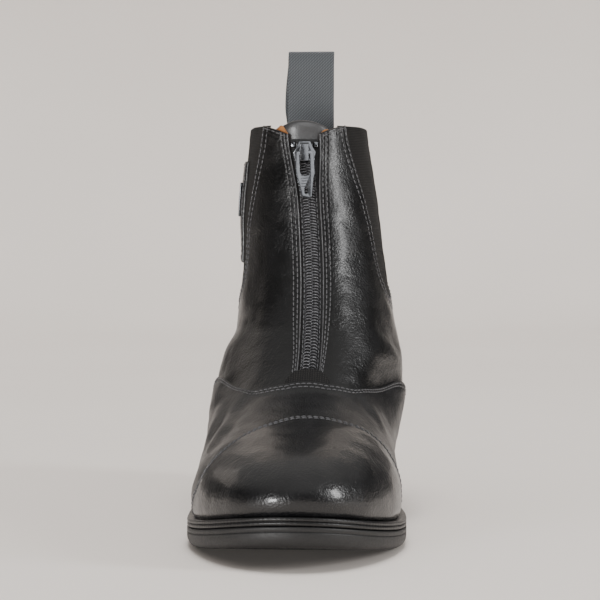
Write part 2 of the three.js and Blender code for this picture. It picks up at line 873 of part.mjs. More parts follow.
// A slot with a round lower end and corners of its own radius at the top
function roundedSlot(width, from, to, corner) {
  const slot = new THREE.Path()
  const side = width / 2 - corner
  slot.absarc(side, from - corner, corner, 0, Math.PI / 2)
  slot.absarc(-side, from - corner, corner, Math.PI / 2, Math.PI)
  slot.absarc(0, to + width / 2, width / 2, Math.PI, Math.PI * 2)
  return slot
}

// Outline of the slider's plate from its middle: shares of half its width and of half its length
const sliderOutline = sections(['out', 'up'], [
  [0.80, -1.0],
  [1.00, -0.1],
  [0.72, 0.4],
  [0.50, 1.0]
])

// The slider in its own frame: a flared plate over the coil, two flanges beside it, and the bridge
// that holds the pull
function zipSlider() {
  const half = sliderWidth / 2
  const end = sliderLength / 2
  const flare = sliderOutline.map(({ out, up }) => [out * half, up * end])
  const top = solid(plate(mirrored(flare), -sliderThickness, sliderThickness))
  const flangeLength = sliderLength * 0.45
  const inner = coilWidth / 2 + clearance
  const flangeDepth = -coilBottom + clearance
  const flange = side => solid(new THREE.BoxGeometry(flangeWall, flangeDepth, flangeLength)
    .translate(side * (inner + flangeWall / 2), flangeDepth / 2 - clearance, -end / 2))
  const outer = -bridgeTop
  const bridge = new THREE.Shape()
  bridge.moveTo(clearance - sliderThickness, -bridgeSpan / 2)
  bridge.lineTo(outer + bridgeWall, -bridgeSpan / 2)
  bridge.lineTo(outer, bridgeWall - bridgeSpan / 2)
  bridge.lineTo(outer, bridgeSpan / 2 - bridgeWall)
  bridge.lineTo(outer + bridgeWall, bridgeSpan / 2)
  bridge.lineTo(clearance - sliderThickness, bridgeSpan / 2)
  const window = [
    [clearance * 2 - sliderThickness, bridgeFoot - bridgeSpan / 2],
    [outer + bridgeWall, bridgeFoot - bridgeSpan / 2],
    [outer + bridgeWall, bridgeSpan / 2 - bridgeFoot],
    [clearance * 2 - sliderThickness, bridgeSpan / 2 - bridgeFoot]
  ]
  const turn = new THREE.Matrix4().makeBasis(
    new THREE.Vector3(0, 1, 0), new THREE.Vector3(0, 0, 1), new THREE.Vector3(1, 0, 0))
  const across = (shape, width) => solid(new THREE.ExtrudeGeometry(shape, { depth: width, bevelEnabled: false })
    .applyMatrix4(turn.clone().setPosition(-width / 2, 0, pivotHeight)))
  const hole = new THREE.Shape(window.map(([y, z]) => new THREE.Vector2(y, z)))
  const arch = across(bridge, bridgeWidth).subtract(across(hole, sliderWidth).subtract(top))
  return geometryOf(top.add(flange(-1)).add(flange(1)).add(arch))
}

// The pull in its own frame, with its cross bar on the hinge line: an eye, a neck below it, and a
// foot with a small slot
function zipPull() {
  const half = pullWidth / 2
  const bar = pullBar / 2
  const low = bar - pullLength
  const neck = -bar - pullEyeLength
  const shape = mirrored([
    [pullFoot / 2, low], [pullFoot / 2 + pullCorner, low + pullCorner], [pullNeck / 2, neck + pullCorner],
    [half, neck + pullEyeWidth / 2], [half, bar - pullCorner], [half - pullCorner, bar]
  ])
  shape.holes.push(roundedSlot(pullEyeWidth, -bar, neck + pullBar, pullEyeCorner))
  const slotEnd = low + pullSlotDrop
  shape.holes.push(roundedSlot(pullSlotWidth, slotEnd + pullSlotLength, slotEnd, pullSlotWidth / 2))
  return plate(shape, -pullThickness / 2, pullThickness)
}

// The strap follows the back of the collar at its seat and runs flat above half its rise
function strapPlace(x, y, z) {
  const flat = THREE.MathUtils.smoothstep(z, collarHeight, collarHeight + loopRise / 2)
  const level = Math.min(z, collarHeight)
  const here = backPoint(x, level)
  const offset = (y - backPoint(loopMiddle, level).y) / outward(here).y
  return new THREE.Vector3(x, THREE.MathUtils.lerp(here.y + offset, y, flat), z)
}

function backPoint(x, z) {
  const row = legRows(z)
  return reach(toWorld(x, (row.front + row.back) / 2, z), new THREE.Vector3(0, 1, 0))
}

// The loop's bow above the collar, from the outer leg to the inner: shares of how far it stands
// open and of its rise
const loopBow = sections(['open', 'rise'], [
  [0.50, 0.35],
  [0.50, 0.70],
  [0.32, 0.93],
  [0.00, 1.00],
  [-0.32, 0.93],
  [-0.50, 0.70],
  [-0.50, 0.35]
])

// The webbing's middle line from the side: up the outside of the collar, over, and down inside
function loopPath() {
  const half = webbingThickness / 2
  const legPoint = (shift, drop) => {
    const z = collarHeight - drop
    return [backPoint(loopMiddle, z).y + shift, z]
  }
  const outer = 2 * clearance + half
  const inner = -wall - 2 * clearance - half
  const middle = backPoint(loopMiddle, collarHeight).y + (outer + inner) / 2
  const points = [
    legPoint(outer, loopSeat), legPoint(outer, loopSeat / 2), legPoint(outer, 0),
    ...loopBow.map(({ open, rise }) => [middle + open * loopOpen, collarHeight + rise * loopRise]),
    legPoint(inner, 0), legPoint(inner, loopSeat / 2), legPoint(inner, loopSeat)
  ]
  return new THREE.CatmullRomCurve3(points.map(([y, z]) => new THREE.Vector3(0, y, z)), false, 'centripetal')
}

function pullLoop() {
  const path = loopPath()
  const steps = 30
  const columns = 4
  const grid = offset => {
    const rows = []
    for (let i = 0; i <= steps; i++) {
      const point = path.getPointAt(i / steps)
      const tangent = path.getTangentAt(i / steps)
      const y = point.y + tangent.z * offset
      const z = point.z - tangent.y * offset
      const row = []
      for (let j = 0; j <= columns; j++) {
        const x = loopMiddle + loopWidth * (j / columns - 0.5)
        row.push(strapPlace(x, y, z))
      }
      rows.push(row)
    }
    return rows
  }
  return between(grid(webbingThickness / 2), grid(-webbingThickness / 2), false)
}

function onGore(width, height, bottom, low, high, rows) {
  const place = (u, v) => sidePoint(-1, goreStation + (v - 0.5) * width, bottom + height * u)
  return slab(place, rows, 2, low, high)
}

// Half moon under the zip, ahead of it down to the vamp's edge
function zipEndPatch() {
  const middle = zipMiddle(zipBottom)
  const seam = vampSeam[0].station * soleLength + clearance
  const shape = new THREE.Shape()
  for (let i = 0; i <= moonSteps; i++) {
    const angle = Math.PI * i / moonSteps
    const station = seam + moonHeight * Math.sin(angle)
    const point = [middle + moonWidth / 2 * Math.cos(angle), station - soleLength / 2]
    if (i === 0) shape.moveTo(...point)
    else shape.lineTo(...point)
  }
  const cutter = new THREE.ExtrudeGeometry(shape, { depth: instepHeight, bevelEnabled: false })
  const gap = clearance + vampThickness + clearance
  const clearOfVamp = bothSides(side => vampOutline(side, gap))
  return geometryOf(overlay(moonThickness)
    .intersect(solid(cutter.translate(0, 0, instepHeight)))
    .subtract(clearOfVamp))
}

const sliderHeight = collarHeight - sliderDrop
const sliderSpot = frontPoint(zipMiddle(sliderHeight), sliderHeight)
const sliderAbove = frontPoint(zipMiddle(sliderHeight), sliderHeight + sliderLength / 2)
const sliderBelow = frontPoint(zipMiddle(sliderHeight), sliderHeight - sliderLength / 2)
const zipLean = Math.atan2(sliderAbove.y - sliderBelow.y, sliderAbove.z - sliderBelow.z)

const zipHead = new THREE.Group()
zipHead.position.copy(sliderSpot)
zipHead.rotation.x = -zipLean
boot.add(zipHead)

add('outsole', outsole(), rubber)
add('heel', heel(), rubber)
add('welt', welt(), rubber)
add('insole', insole(), lining)
add('upper', upper(), leather)
add('vamp', vamp(), leather)
add('toe_cap', toeCap(), polished)
add('gore_lateral', gore(-1), elastic)
add('gore_medial', gore(1), elastic)
add('tongue', tongue(), leather)
add('zip_end_patch', zipEndPatch(), elastic)
add('zip_tape', zipTape(), nylon)
add('zip_coil', zipCoil(), nylon)
add('zip_stop_lateral', zipStop(-1), nickel)
add('zip_stop_medial', zipStop(1), nickel)
add('zip_slider', zipSlider(), nickel, zipHead)
const pull = add('zip_pull', zipPull(), nickel, zipHead)
pull.position.set(0, -sliderThickness - pivotRise, pivotHeight)
pull.rotation.set(THREE.MathUtils.degToRad(-pullTilt), THREE.MathUtils.degToRad(pullSway), 0)
add('pull_loop', pullLoop(), webbing)
const badgeTop = badgeSeat + badgeThickness
add('badge_patch', onGore(badgeWidth, badgeHeight, badgeBottom, badgeSeat, badgeTop, 6), leather)
const barSeat = badgeTop + clearance
const barBottom = badgeBottom + barRise
add('badge_bar', onGore(barWidth, barHeight, barBottom, barSeat, barSeat + barThickness, 2), nickel)

const box = new THREE.Box3().setFromObject(boot)
boot.position.set(-(box.min.x + box.max.x) / 2, -(box.min.y + box.max.y) / 2, -box.min.z)

export default boot
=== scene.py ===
import json
import math

import bmesh
import bpy
import numpy as np
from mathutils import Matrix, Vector

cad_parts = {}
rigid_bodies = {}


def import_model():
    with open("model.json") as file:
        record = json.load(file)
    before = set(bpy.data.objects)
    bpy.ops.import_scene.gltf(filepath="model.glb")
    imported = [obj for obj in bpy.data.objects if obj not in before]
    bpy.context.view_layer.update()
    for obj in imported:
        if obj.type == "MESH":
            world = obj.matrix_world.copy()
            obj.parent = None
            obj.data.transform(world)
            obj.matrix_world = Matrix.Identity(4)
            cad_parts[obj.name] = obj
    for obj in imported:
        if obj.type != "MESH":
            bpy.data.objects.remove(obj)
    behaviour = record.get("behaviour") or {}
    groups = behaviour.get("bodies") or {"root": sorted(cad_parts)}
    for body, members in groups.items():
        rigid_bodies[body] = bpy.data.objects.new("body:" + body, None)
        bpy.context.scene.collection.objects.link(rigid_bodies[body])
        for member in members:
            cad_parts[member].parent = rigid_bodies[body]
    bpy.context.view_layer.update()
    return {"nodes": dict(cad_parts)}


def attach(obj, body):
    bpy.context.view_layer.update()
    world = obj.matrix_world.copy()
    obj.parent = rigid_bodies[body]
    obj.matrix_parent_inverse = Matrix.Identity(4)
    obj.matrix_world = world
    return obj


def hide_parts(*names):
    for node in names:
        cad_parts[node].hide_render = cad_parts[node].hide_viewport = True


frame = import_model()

# Black zip-front riding boot for the right foot. Lengths are in mm until a mesh is made.
# Stations run along the boot from the toe tip (0) to the heel; lateral is -X, medial is +X.
mm = 0.001
nodes = frame["nodes"]

last = {
    "length": 282.0,
    "ball": 96.0,
    "instep": 64.0,
    "shaft": 64.0,
    "collar": 202.3,
    "heel": 26.0,
    "toeSpring": 12.0,
    "foreThickness": 13.0,
    "seatThickness": 10.5,
    "toeRound": 76.0,
    "clearance": 0.3,
    "collarDip": 7.4,
    "collarDipWidth": 15.0,
    "shift": (-0.862, 0.274),     # of the whole last, so that its box is centred on the origin
    "around": 640,                # columns of the base grid of the skin
    "along": 300,                 # and its rows
}
seatTop = last["heel"] + last["seatThickness"]

# How the sections round off, and how the foot and the leg run into each other
form = {
    "across": 2.2,                # power of the foot's width, toe and rear
    "upwards": 2.05,              # and of its height
    "round": 2.15,                # power of the leg's oval
    "square": 0.75,               # added behind, low on the leg
    "slope": 38.0,                # turns a share into mm, half of a mean width
    "fold": 9.0,                  # radius of the fold between foot and leg
    "toeStart": 3.0,              # station where the foot's sections take over from the toe's round
    "rearStart": 0.709,           # share of the length where the foot closes towards the heel
    "rearLength": 0.195,
    "nudge": 0.05,                # step for the gradient
}

# Foot sections: station, half widths, ridge, widest level, centre, tuck under on each side
footTable = np.array([
    [0.000, 0.427, 0.432, 0.516, 0.095, 0.031, 0.30, 0.30],
    [0.106, 0.443, 0.474, 0.586, 0.100, 0.047, 0.33, 0.33],
    [0.213, 0.479, 0.506, 0.672, 0.110, 0.057, 0.35, 0.35],
    [0.319, 0.498, 0.512, 0.789, 0.125, 0.062, 0.34, 0.36],
    [0.408, 0.500, 0.496, 0.914, 0.156, 0.062, 0.38, 0.50],
    [0.496, 0.490, 0.482, 1.000, 0.300, 0.052, 0.54, 0.72],
    [0.603, 0.480, 0.530, 1.030, 0.520, 0.045, 0.66, 0.84],
    [0.700, 0.425, 0.490, 0.980, 0.560, 0.030, 0.70, 0.84],
    [0.800, 0.350, 0.375, 0.860, 0.500, 0.010, 0.70, 0.74],
    [0.887, 0.300, 0.310, 0.700, 0.450, 0.000, 0.60, 0.60],
])

# Leg sections: height above the seat, front and back station, half widths, centre
legTable = np.array([
    [-0.063, 0.532, 0.972, 0.453, 0.453, 0.000],
    [0.051, 0.496, 0.985, 0.500, 0.500, 0.010],
    [0.142, 0.433, 0.986, 0.555, 0.580, 0.030],
    [0.214, 0.411, 0.981, 0.610, 0.700, 0.060],
    [0.286, 0.429, 0.971, 0.625, 0.765, 0.080],
    [0.370, 0.465, 0.960, 0.584, 0.738, 0.086],
    [0.467, 0.495, 0.952, 0.562, 0.691, 0.086],
    [0.575, 0.520, 0.946, 0.547, 0.644, 0.078],
    [0.684, 0.537, 0.944, 0.552, 0.609, 0.062],
    [0.792, 0.549, 0.946, 0.544, 0.572, 0.041],
    [0.901, 0.557, 0.950, 0.519, 0.531, 0.016],
    [1.021, 0.562, 0.957, 0.491, 0.494, -0.008],
])

# Where the skin's rays start: share, front station and height, tilt, back station and height
castTable = np.array([
    [0.00, 0.213, 0.109, 0, 0.837, 0.178],
    [0.06, 0.213, 0.116, 12, 0.836, 0.222],
    [0.12, 0.213, 0.128, 28, 0.834, 0.264],
    [0.18, 0.220, 0.138, 45, 0.832, 0.306],
    [0.24, 0.234, 0.148, 62, 0.831, 0.346],
    [0.30, 0.264, 0.158, 74, 0.829, 0.388],
    [0.36, 0.312, 0.170, 80, 0.827, 0.430],
    [0.42, 0.369, 0.190, 80, 0.823, 0.476],
    [0.50, 0.447, 0.232, 76, 0.818, 0.540],
    [0.58, 0.525, 0.300, 62, 0.812, 0.612],
    [0.66, 0.596, 0.396, 42, 0.806, 0.690],
    [0.74, 0.645, 0.514, 26, 0.802, 0.764],
    [0.84, 0.695, 0.682, 12, 0.798, 0.854],
    [1.00, 0.738, 1.008, 4, 0.794, 0.998],
])

# The toe cap's rear seam: height above the floor, station on the lateral and the medial side
capTable = np.array([
    [0.14, 0.238, 0.326],
    [0.31, 0.222, 0.320],
    [0.41, 0.206, 0.311],
    [0.50, 0.194, 0.302],
    [0.60, 0.190, 0.296],
    [0.69, 0.195, 0.289],
    [0.78, 0.210, 0.282],
    [0.87, 0.236, 0.274],
    [0.95, 0.266, 0.267],
    [1.20, 0.268, 0.267],
])

# The vamp's upper seam: station, height on the lateral and the medial side
vampTable = np.array([
    [0.394, 1.125, 1.130],
    [0.408, 1.085, 1.098],
    [0.440, 1.072, 1.080],
    [0.480, 1.085, 1.070],
    [0.532, 1.115, 1.075],
    [0.575, 1.120, 1.090],
    [0.605, 1.070, 1.060],
    [0.635, 0.950, 0.950],
    [0.662, 0.760, 0.770],
    [0.684, 0.520, 0.540],
    [0.702, 0.200, 0.220],
])


def spline(table, column):
    # natural cubic spline through one column of a table, ends held flat beyond the table
    x, y = table[:, 0], table[:, column]
    n = len(x)
    h = np.diff(x)
    system = np.eye(n)
    right = np.zeros(n)
    for i in range(1, n - 1):
        system[i, i - 1:i + 2] = h[i - 1], 2 * (h[i - 1] + h[i]), h[i]
        right[i] = 6 * ((y[i + 1] - y[i]) / h[i] - (y[i] - y[i - 1]) / h[i - 1])
    bend = np.linalg.solve(system, right)

    def read(value):
        v = np.clip(value, x[0], x[-1])
        i = np.clip(np.searchsorted(x, v) - 1, 0, n - 2)
        step = h[i]
        a = (x[i + 1] - v) / step
        b = 1 - a
        curve = ((a**3 - a) * bend[i] + (b**3 - b) * bend[i + 1]) * step**2 / 6
        return a * y[i] + b * y[i + 1] + curve

    return read


foot = {name: spline(footTable, i + 1) for i, name in enumerate(
    ["lateral", "medial", "ridge", "level", "centre", "tuckLateral", "tuckMedial"])}
leg = {name: spline(legTable, i + 1) for i, name in enumerate(
    ["front", "back", "lateral", "medial", "centre"])}
cast = {name: spline(castTable, i + 1) for i, name in enumerate(
    ["front", "frontHeight", "tilt", "back", "backHeight"])}
capEdge = {-1: spline(capTable, 1), 1: spline(capTable, 2)}
vampEdge = {-1: spline(vampTable, 1), 1: spline(vampTable, 2)}


def smooth(value, low, high):
    # 0 below low, 1 above high, and 3 t squared less 2 t cubed between
    t = np.clip((value - low) / (high - low), 0, 1)
    return t * t * (3 - 2 * t)


def mix(a, b, t):
    # a at share 0, b at share 1, straight between
    return a + (b - a) * t


def tread(station):
    # toe spring, then a flat forepart, then the arch rising to the seat of the heel
    share = station / last["length"]
    spring = last["toeSpring"] * np.maximum(1 - share / 0.3, 0)**1.8
    return spring + last["heel"] * smooth(share, 0.37, 0.72)


def feather(station):
    # height where the upper meets the sole: the tread plus the sole's thickness there
    share = station / last["length"]
    return tread(station) + mix(last["foreThickness"], last["seatThickness"], smooth(share, 0.4, 0.6))


def footField(x, station, z):
    # Root of the summed powers of width, height, toe and rear as shares of the section's own sizes,
    # less 1: below 0 inside the foot
    share = station / last["length"]
    centre = foot["centre"](share) * last["ball"]
    lateral = x < centre
    side = np.where(lateral, -foot["lateral"](share), foot["medial"](share)) * last["ball"]
    tuck = np.where(lateral, foot["tuckLateral"](share), foot["tuckMedial"](share))
    level = foot["level"](share) * last["instep"]
    ridge = foot["ridge"](share) * last["instep"]
    above = z - feather(np.clip(station, 0, last["length"])) - level
    rise = np.where(above > 0, above / (ridge - level), -tuck * above / level)
    toe = np.maximum(1 - (station - form["toeStart"]) / last["toeRound"], 0)
    rear = np.maximum((share - form["rearStart"]) / form["rearLength"], 0)
    width = (x - centre) / (side - centre)
    power = form["across"]
    total = width**power + rise**form["upwards"] + toe**power + rear**power
    return (total**(1 / power) - 1) * form["slope"]


def legRow(z):
    # the leg's section at a height: front and back station, x of both sides and of the middle
    share = (z - seatTop) / (last["collar"] - seatTop)
    front, back = (leg[name](share) * last["length"] for name in ("front", "back"))
    widths = (leg[name](share) * last["shaft"] for name in ("lateral", "medial", "centre"))
    lateral, medial, centre = widths
    return front, back, -lateral, medial, centre


def legField(x, station, z):
    # an oval of width and depth as shares of the section, squarer behind and low down, less 1
    front, back, lateral, medial, centre = legRow(z)
    middle = (front + back) / 2
    width = (x - centre) / (np.where(x < centre, lateral, medial) - centre)
    depth = np.abs(station - middle) / ((back - front) / 2)
    low = 1 - smooth(z, seatTop, last["collar"] / 2)
    oval = np.where(station > middle, form["round"] + form["square"] * low, form["round"])
    return ((width**oval + depth**oval)**(1 / oval) - 1) * form["slope"]


def field(points):
    # negative inside the boot: the lesser of foot and leg, blended by a parabola where they are close
    x, station, z = points[..., 0], points[..., 1], points[..., 2]
    a, b = footField(x, station, z), legField(x, station, z)
    share = np.clip(0.5 + (b - a) / (2 * form["fold"]), 0, 1)
    return b + (a - b) * share - form["fold"] * share * (1 - share)


def slope(points):
    # the field's gradient, by central differences
    nudge = form["nudge"] * np.eye(3)
    return np.stack([field(points + d) - field(points - d) for d in nudge], -1) / (2 * form["nudge"])


def unit(vectors):
    # each vector divided by its length
    return vectors / np.linalg.norm(vectors, axis=-1, keepdims=True)


def reach(start, direction, halvings=12, polish=4):
    # follows rays from inside the boot to its skin: halving first, then false position
    near = np.zeros(start.shape[:-1])
    far = np.full(start.shape[:-1], last["length"])
    for _ in range(halvings):
        middle = (near + far) / 2
        outside = field(start + direction * middle[..., None]) > 0
        far = np.where(outside, middle, far)
        near = np.where(outside, near, middle)
    fNear = field(start + direction * near[..., None])
    fFar = field(start + direction * far[..., None])
    for _ in range(polish):
        guess = near - fNear * (far - near) / (fFar - fNear)
        value = field(start + direction * guess[..., None])
        outside = value > 0
        fNear = np.where(outside, fNear, value)
        fFar = np.where(outside, value, fFar)
        far = np.where(outside, guess, far)
        near = np.where(outside, near, guess)
    return start + direction * ((near + far) / 2)[..., None]


def collarEdge(points):
    # the collar's height, with a dip shaped like a bell curve at the front
    front, back, _, _, centre = legRow(np.array(last["collar"]))
    dip = np.exp(-((points[..., 0] - centre) / last["collarDipWidth"])**2)
    return last["collar"] - np.where(points[..., 1] < (front + back) / 2, last["collarDip"] * dip, 0)


def castRays(turn, share, raised):
    # Starts and directions of the rays to the skin: they start on the leg's and the foot's middle,
    # fan out by the turn, and tilt upwards by the table in front
    angle = turn * 2 * np.pi
    forward = np.cos(angle)
    toBack = (1 - forward) / 2
    tilt = np.radians(cast["tilt"](share))
    station = mix(cast["front"](share), cast["back"](share), toBack) * last["length"]
    height = mix(cast["frontHeight"](share), cast["backHeight"](share), toBack)
    height = height * last["collar"] + raised
    middle = foot["centre"](share / 2) * last["ball"] * (1 - share) * (1 - toBack)
    flat = np.where(forward > 0, np.cos(tilt), 1)
    lift = np.where(forward > 0, forward * np.sin(tilt), 0)
    direction = unit(np.stack([np.sin(angle), -forward * flat, lift], -1))
    return np.stack([middle, station, height], -1), direction


def makeSkin():
    # The skin as a grid: turn around the boot (0 at the toe, 0.25 medial) by share from the feather
    # line (0) to the collar (1). The rays of both rims are raised until the rims are level.
    turn = np.arange(last["around"]) / last["around"]
    share = np.linspace(0, 1, last["along"] + 1)
    raised = {}
    for rim, edge in ((0.0, lambda p: feather(p[..., 1]) + last["clearance"]), (1.0, collarEdge)):
        lift = np.zeros_like(turn)
        for _ in range(10):
            point = reach(*castRays(turn, np.full_like(turn, rim), lift))
            lift = lift + edge(point) - point[..., 2]
        raised[rim] = lift
    u, t = np.meshgrid(share, turn, indexing="ij")
    low = np.maximum(1 - u / 0.35, 0)**2
    high = np.maximum(1 - (1 - u) / 0.4, 0)**2
    points = reach(*castRays(t, u, raised[0.0] * low + raised[1.0] * high))
    normals = unit(slope(points))
    for row in (0, -1):
        normals[row, :, 2] = 0
        normals[row] = unit(normals[row])
    return points, normals


skinPoints, skinNormals = makeSkin()
print("skin grid made")


def readGrid(grid, turn, share):
    # Catmull-Rom reading of the skin grid, wrapped around the boot
    columns, rows = last["around"], last["along"]
    a = np.mod(turn, 1) * columns
    b = np.clip(share, 0, 1) * rows
    i, j = np.floor(b).astype(int), np.floor(a).astype(int)
    i = np.minimum(i, rows - 1)

    def weights(f):
        return np.stack([
            -0.5 * f + f**2 - 0.5 * f**3,
            1 - 2.5 * f**2 + 1.5 * f**3,
            0.5 * f + 2 * f**2 - 1.5 * f**3,
            -0.5 * f**2 + 0.5 * f**3,
        ])

    wi, wj = weights(b - i), weights(a - j)
    total = 0
    for m in range(4):
        row = np.clip(i + m - 1, 0, rows)
        for n in range(4):
            column = np.mod(j + n - 1, columns)
            total = total + grid[row, column] * (wi[m] * wj[n])[..., None]
    return total


# Creases: start and end on the skin (x, station, z), depth of the trough (a ridge is
# negative) and its half width
creases = {
    "vampLateral": [
        [(-24, 118, 68), (-40, 60, 44), 0.9, 5.5],
        [(-30, 119, 66), (-43, 76, 40), -0.8, 6.0],
        [(-36, 121, 62), (-45, 90, 38), 0.8, 5.0],
        [(-41, 128, 56), (-46, 104, 34), -0.5, 5.0],
        [(-13, 107, 69), (-33, 66, 51), -0.5, 6.5],
    ],
    "vampMedial": [
        [(29, 113, 66), (40, 100, 54), 0.7, 4.0],
        [(34, 118, 63), (43, 108, 50), -0.5, 4.0],
        [(24, 104, 66), (34, 90, 58), 0.5, 4.5],
    ],
    "vampTop": [
        [(-10, 103, 69), (20, 101, 70), 0.35, 5.0],
        [(-14, 92, 65), (24, 90, 65), 0.30, 6.0],
    ],
    "ankle": [
        [(-30, 150, 104), (-36, 196, 92), 0.7, 6.0],
        [(-30, 152, 92), (-38, 198, 78), -0.6, 6.0],
        [(42, 140, 100), (48, 190, 92), 0.7, 6.0],
        [(40, 136, 88), (46, 186, 78), -0.6, 6.0],
        [(-16, 128, 95), (-30, 150, 112), 0.5, 4.5],
        [(24, 130, 96), (40, 150, 116), 0.5, 4.5],
    ],
    "leg": [
        [(-10, 158, 188), (-23, 168, 170), 0.22, 5.0],
        [(-9, 155, 160), (-22, 163, 142), 0.25, 6.0],
        [(12, 158, 186), (24, 170, 168), 0.20, 5.0],
        [(15, 153, 158), (28, 165, 146), 0.22, 6.0],
        [(14, 149, 138), (30, 160, 128), 0.25, 6.0],
        [(-8, 147, 138), (-22, 158, 126), 0.25, 6.0],
    ],
}


creaseDepth = 1.3     # scales all of them
waves = {"count": 14, "depth": 0.085, "short": 9.0, "long": 30.0, "seed": 5}


def relief(points):
    # Sum of the creases: each is a bell curve across a straight line, faded by a sine at both ends
    total = np.zeros(points.shape[:-1])
    for group in creases.values():
        for start, end, depth, width in group:
            a, b = np.array(start, float), np.array(end, float)
            along = np.clip((points - a) @ (b - a) / ((b - a) @ (b - a)), 0, 1)
            away = np.linalg.norm(points - a - along[..., None] * (b - a), axis=-1)
            fade = 0.35 + 0.65 * np.sin(np.pi * along)
            total -= creaseDepth * depth * np.exp(-(away / width)**2) * fade
    # and the hide's own unevenness: plane waves of mixed lengths in seeded directions
    draw = np.random.default_rng(waves["seed"])
    for _ in range(waves["count"]):
        direction = unit(draw.normal(size=3))
        period = draw.uniform(waves["short"], waves["long"])
        start = draw.uniform(0, 2 * np.pi)
        phase = points @ direction * 2 * np.pi / period + start
        total += waves["depth"] * (period / waves["long"]) * np.sin(phase)
    return total


def skin(turn, share, offset=0.0):
    # points at an offset from the creased skin, and their outward directions
    points = readGrid(skinPoints, turn, share)
    normals = unit(readGrid(skinNormals, turn, share))
    out = np.asarray(offset, float) + relief(points)
    return points + normals * out[..., None], normals


def locate(wanted, axes, near):
    # Turn and share of skin points whose named coordinates are wanted: Newton on the grid, started
    # from the nearest grid point of the part of the boot that near() keeps
    keep = near(skinPoints)
    flat = np.argwhere(keep)
    candidates = skinPoints[keep][:, axes]
    best = np.array([np.argmin(((candidates - w)**2).sum(-1)) for w in wanted])
    share = flat[best, 0] / last["along"]
    turn = flat[best, 1] / last["around"]
    h = 0.0015

    def read(turn, share):
        return readGrid(skinPoints, turn, share)[:, axes]

    for _ in range(8):
        byTurn = (read(turn + h, share) - read(turn - h, share)) / (2 * h)
        above, below = np.minimum(share + h, 1), np.maximum(share - h, 0)
        byShare = (read(turn, above) - read(turn, below)) / (above - below)[:, None]
        miss = wanted - read(turn, share)
        det = byTurn[:, 0] * byShare[:, 1] - byTurn[:, 1] * byShare[:, 0]
        det = np.where(np.abs(det) < 1e-3, 1e-3, det)
        stepTurn = (miss[:, 0] * byShare[:, 1] - miss[:, 1] * byShare[:, 0]) / det
        stepShare = (byTurn[:, 0] * miss[:, 1] - byTurn[:, 1] * miss[:, 0]) / det
        turn = turn + np.clip(stepTurn, -0.01, 0.01)
        share = np.clip(share + np.clip(stepShare, -0.01, 0.01), 0, 1)
    return turn, share


def toRow(points):
    # from the last's own place to the object's frame, in metres
    shift = np.array([last["shift"][0], last["shift"][1] - last["length"] / 2, 0])
    return (points + shift) * mm


def makeMesh(name, points, faces, uv=None):
    # points (n, 3) in mm in the last's place, faces as an (m, 3) or (m, 4) array or a list of both
    mesh = bpy.data.meshes.new(name)
    blocks = [faces] if isinstance(faces, np.ndarray) else faces
    loops = np.concatenate([block.ravel() for block in blocks]).astype(np.int32)
    sizes = np.concatenate([np.full(len(block), block.shape[1]) for block in blocks]).astype(np.int32)
    mesh.vertices.add(len(points))
    mesh.vertices.foreach_set("co", toRow(points).astype(np.float32).ravel())
    mesh.loops.add(len(loops))
    mesh.loops.foreach_set("vertex_index", loops)
    mesh.polygons.add(len(sizes))
    starts = np.concatenate([[0], np.cumsum(sizes)[:-1]]).astype(np.int32)
    mesh.polygons.foreach_set("loop_start", starts)
    mesh.update(calc_edges=True)
    if uv is not None:
        layer = mesh.uv_layers.new(name="UVMap")
        layer.data.foreach_set("uv", uv[loops].astype(np.float32).ravel())
    mesh.polygons.foreach_set("use_smooth", np.full(len(sizes), True))
    mesh.validate()
    mesh.update()
    piece = bpy.data.objects.new(name, mesh)
    bpy.context.scene.collection.objects.link(piece)
    return piece


def gridFaces(rows, columns, wrapRows=False, wrapColumns=False):
    # quads between neighbouring rows and columns of a grid, round again where it wraps
    i = np.arange(rows if wrapRows else rows - 1)[:, None]
    j = np.arange(columns if wrapColumns else columns - 1)[None]
    k, m = (i + 1) % rows, (j + 1) % columns
    quads = np.stack([i * columns + j, i * columns + m, k * columns + m, k * columns + j], -1)
    return quads.reshape(-1, 4)


def shell(name, outer, inner, wrapColumns=False, uv=None):
    # A closed sheet: an outer grid, an inner grid of the same shape, and walls along their edges
    rows, columns = outer.shape[:2]
    count = rows * columns
    points = np.concatenate([outer.reshape(-1, 3), inner.reshape(-1, 3)])
    index = np.arange(count).reshape(rows, columns)
    front = gridFaces(rows, columns, wrapColumns=wrapColumns)
    back = front[:, ::-1] + count

    def wall(line):
        nextLine = np.roll(line, -1) if wrapColumns else line[1:]
        line = line if wrapColumns else line[:-1]
        return np.stack([line, line + count, nextLine + count, nextLine], -1)

    walls = [wall(index[0]), wall(index[-1])[:, ::-1]]
    if not wrapColumns:
        low, high = index[:-1, 0], index[1:, 0]
        walls.append(np.stack([low, high, high + count, low + count], -1))
        low, high = index[:-1, -1], index[1:, -1]
        walls.append(np.stack([low, low + count, high + count, high], -1))
    faces = np.concatenate([front, back, *walls])
    area = np.cross(outer[1:, :-1] - outer[:-1, :-1], outer[:-1, 1:] - outer[:-1, :-1])
    thick = (outer - inner)[:-1, :-1]
    if (area * thick).sum() > 0:
        faces = faces[:, ::-1]
    uvs = None if uv is None else np.concatenate([uv.reshape(-1, 2)] * 2)
    return makeMesh(name, points, faces, uvs)


def finish(piece, body, material, materialSlot, *replaced):
    # gives a piece its material and body, and hides the plain nodes that it stands for; materialSlot is
    # not used
    piece.data.materials.append(material)
    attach(piece, body)
    if replaced:
        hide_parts(*replaced)
    return piece


def linear(colour):
    # sRGB hex to linear light
    channels = [int(colour[i:i + 2], 16) / 255 for i in (1, 3, 5)]
    return [c / 12.92 if c <= 0.04045 else ((c + 0.055) / 1.055)**2.4 for c in channels] + [1.0]


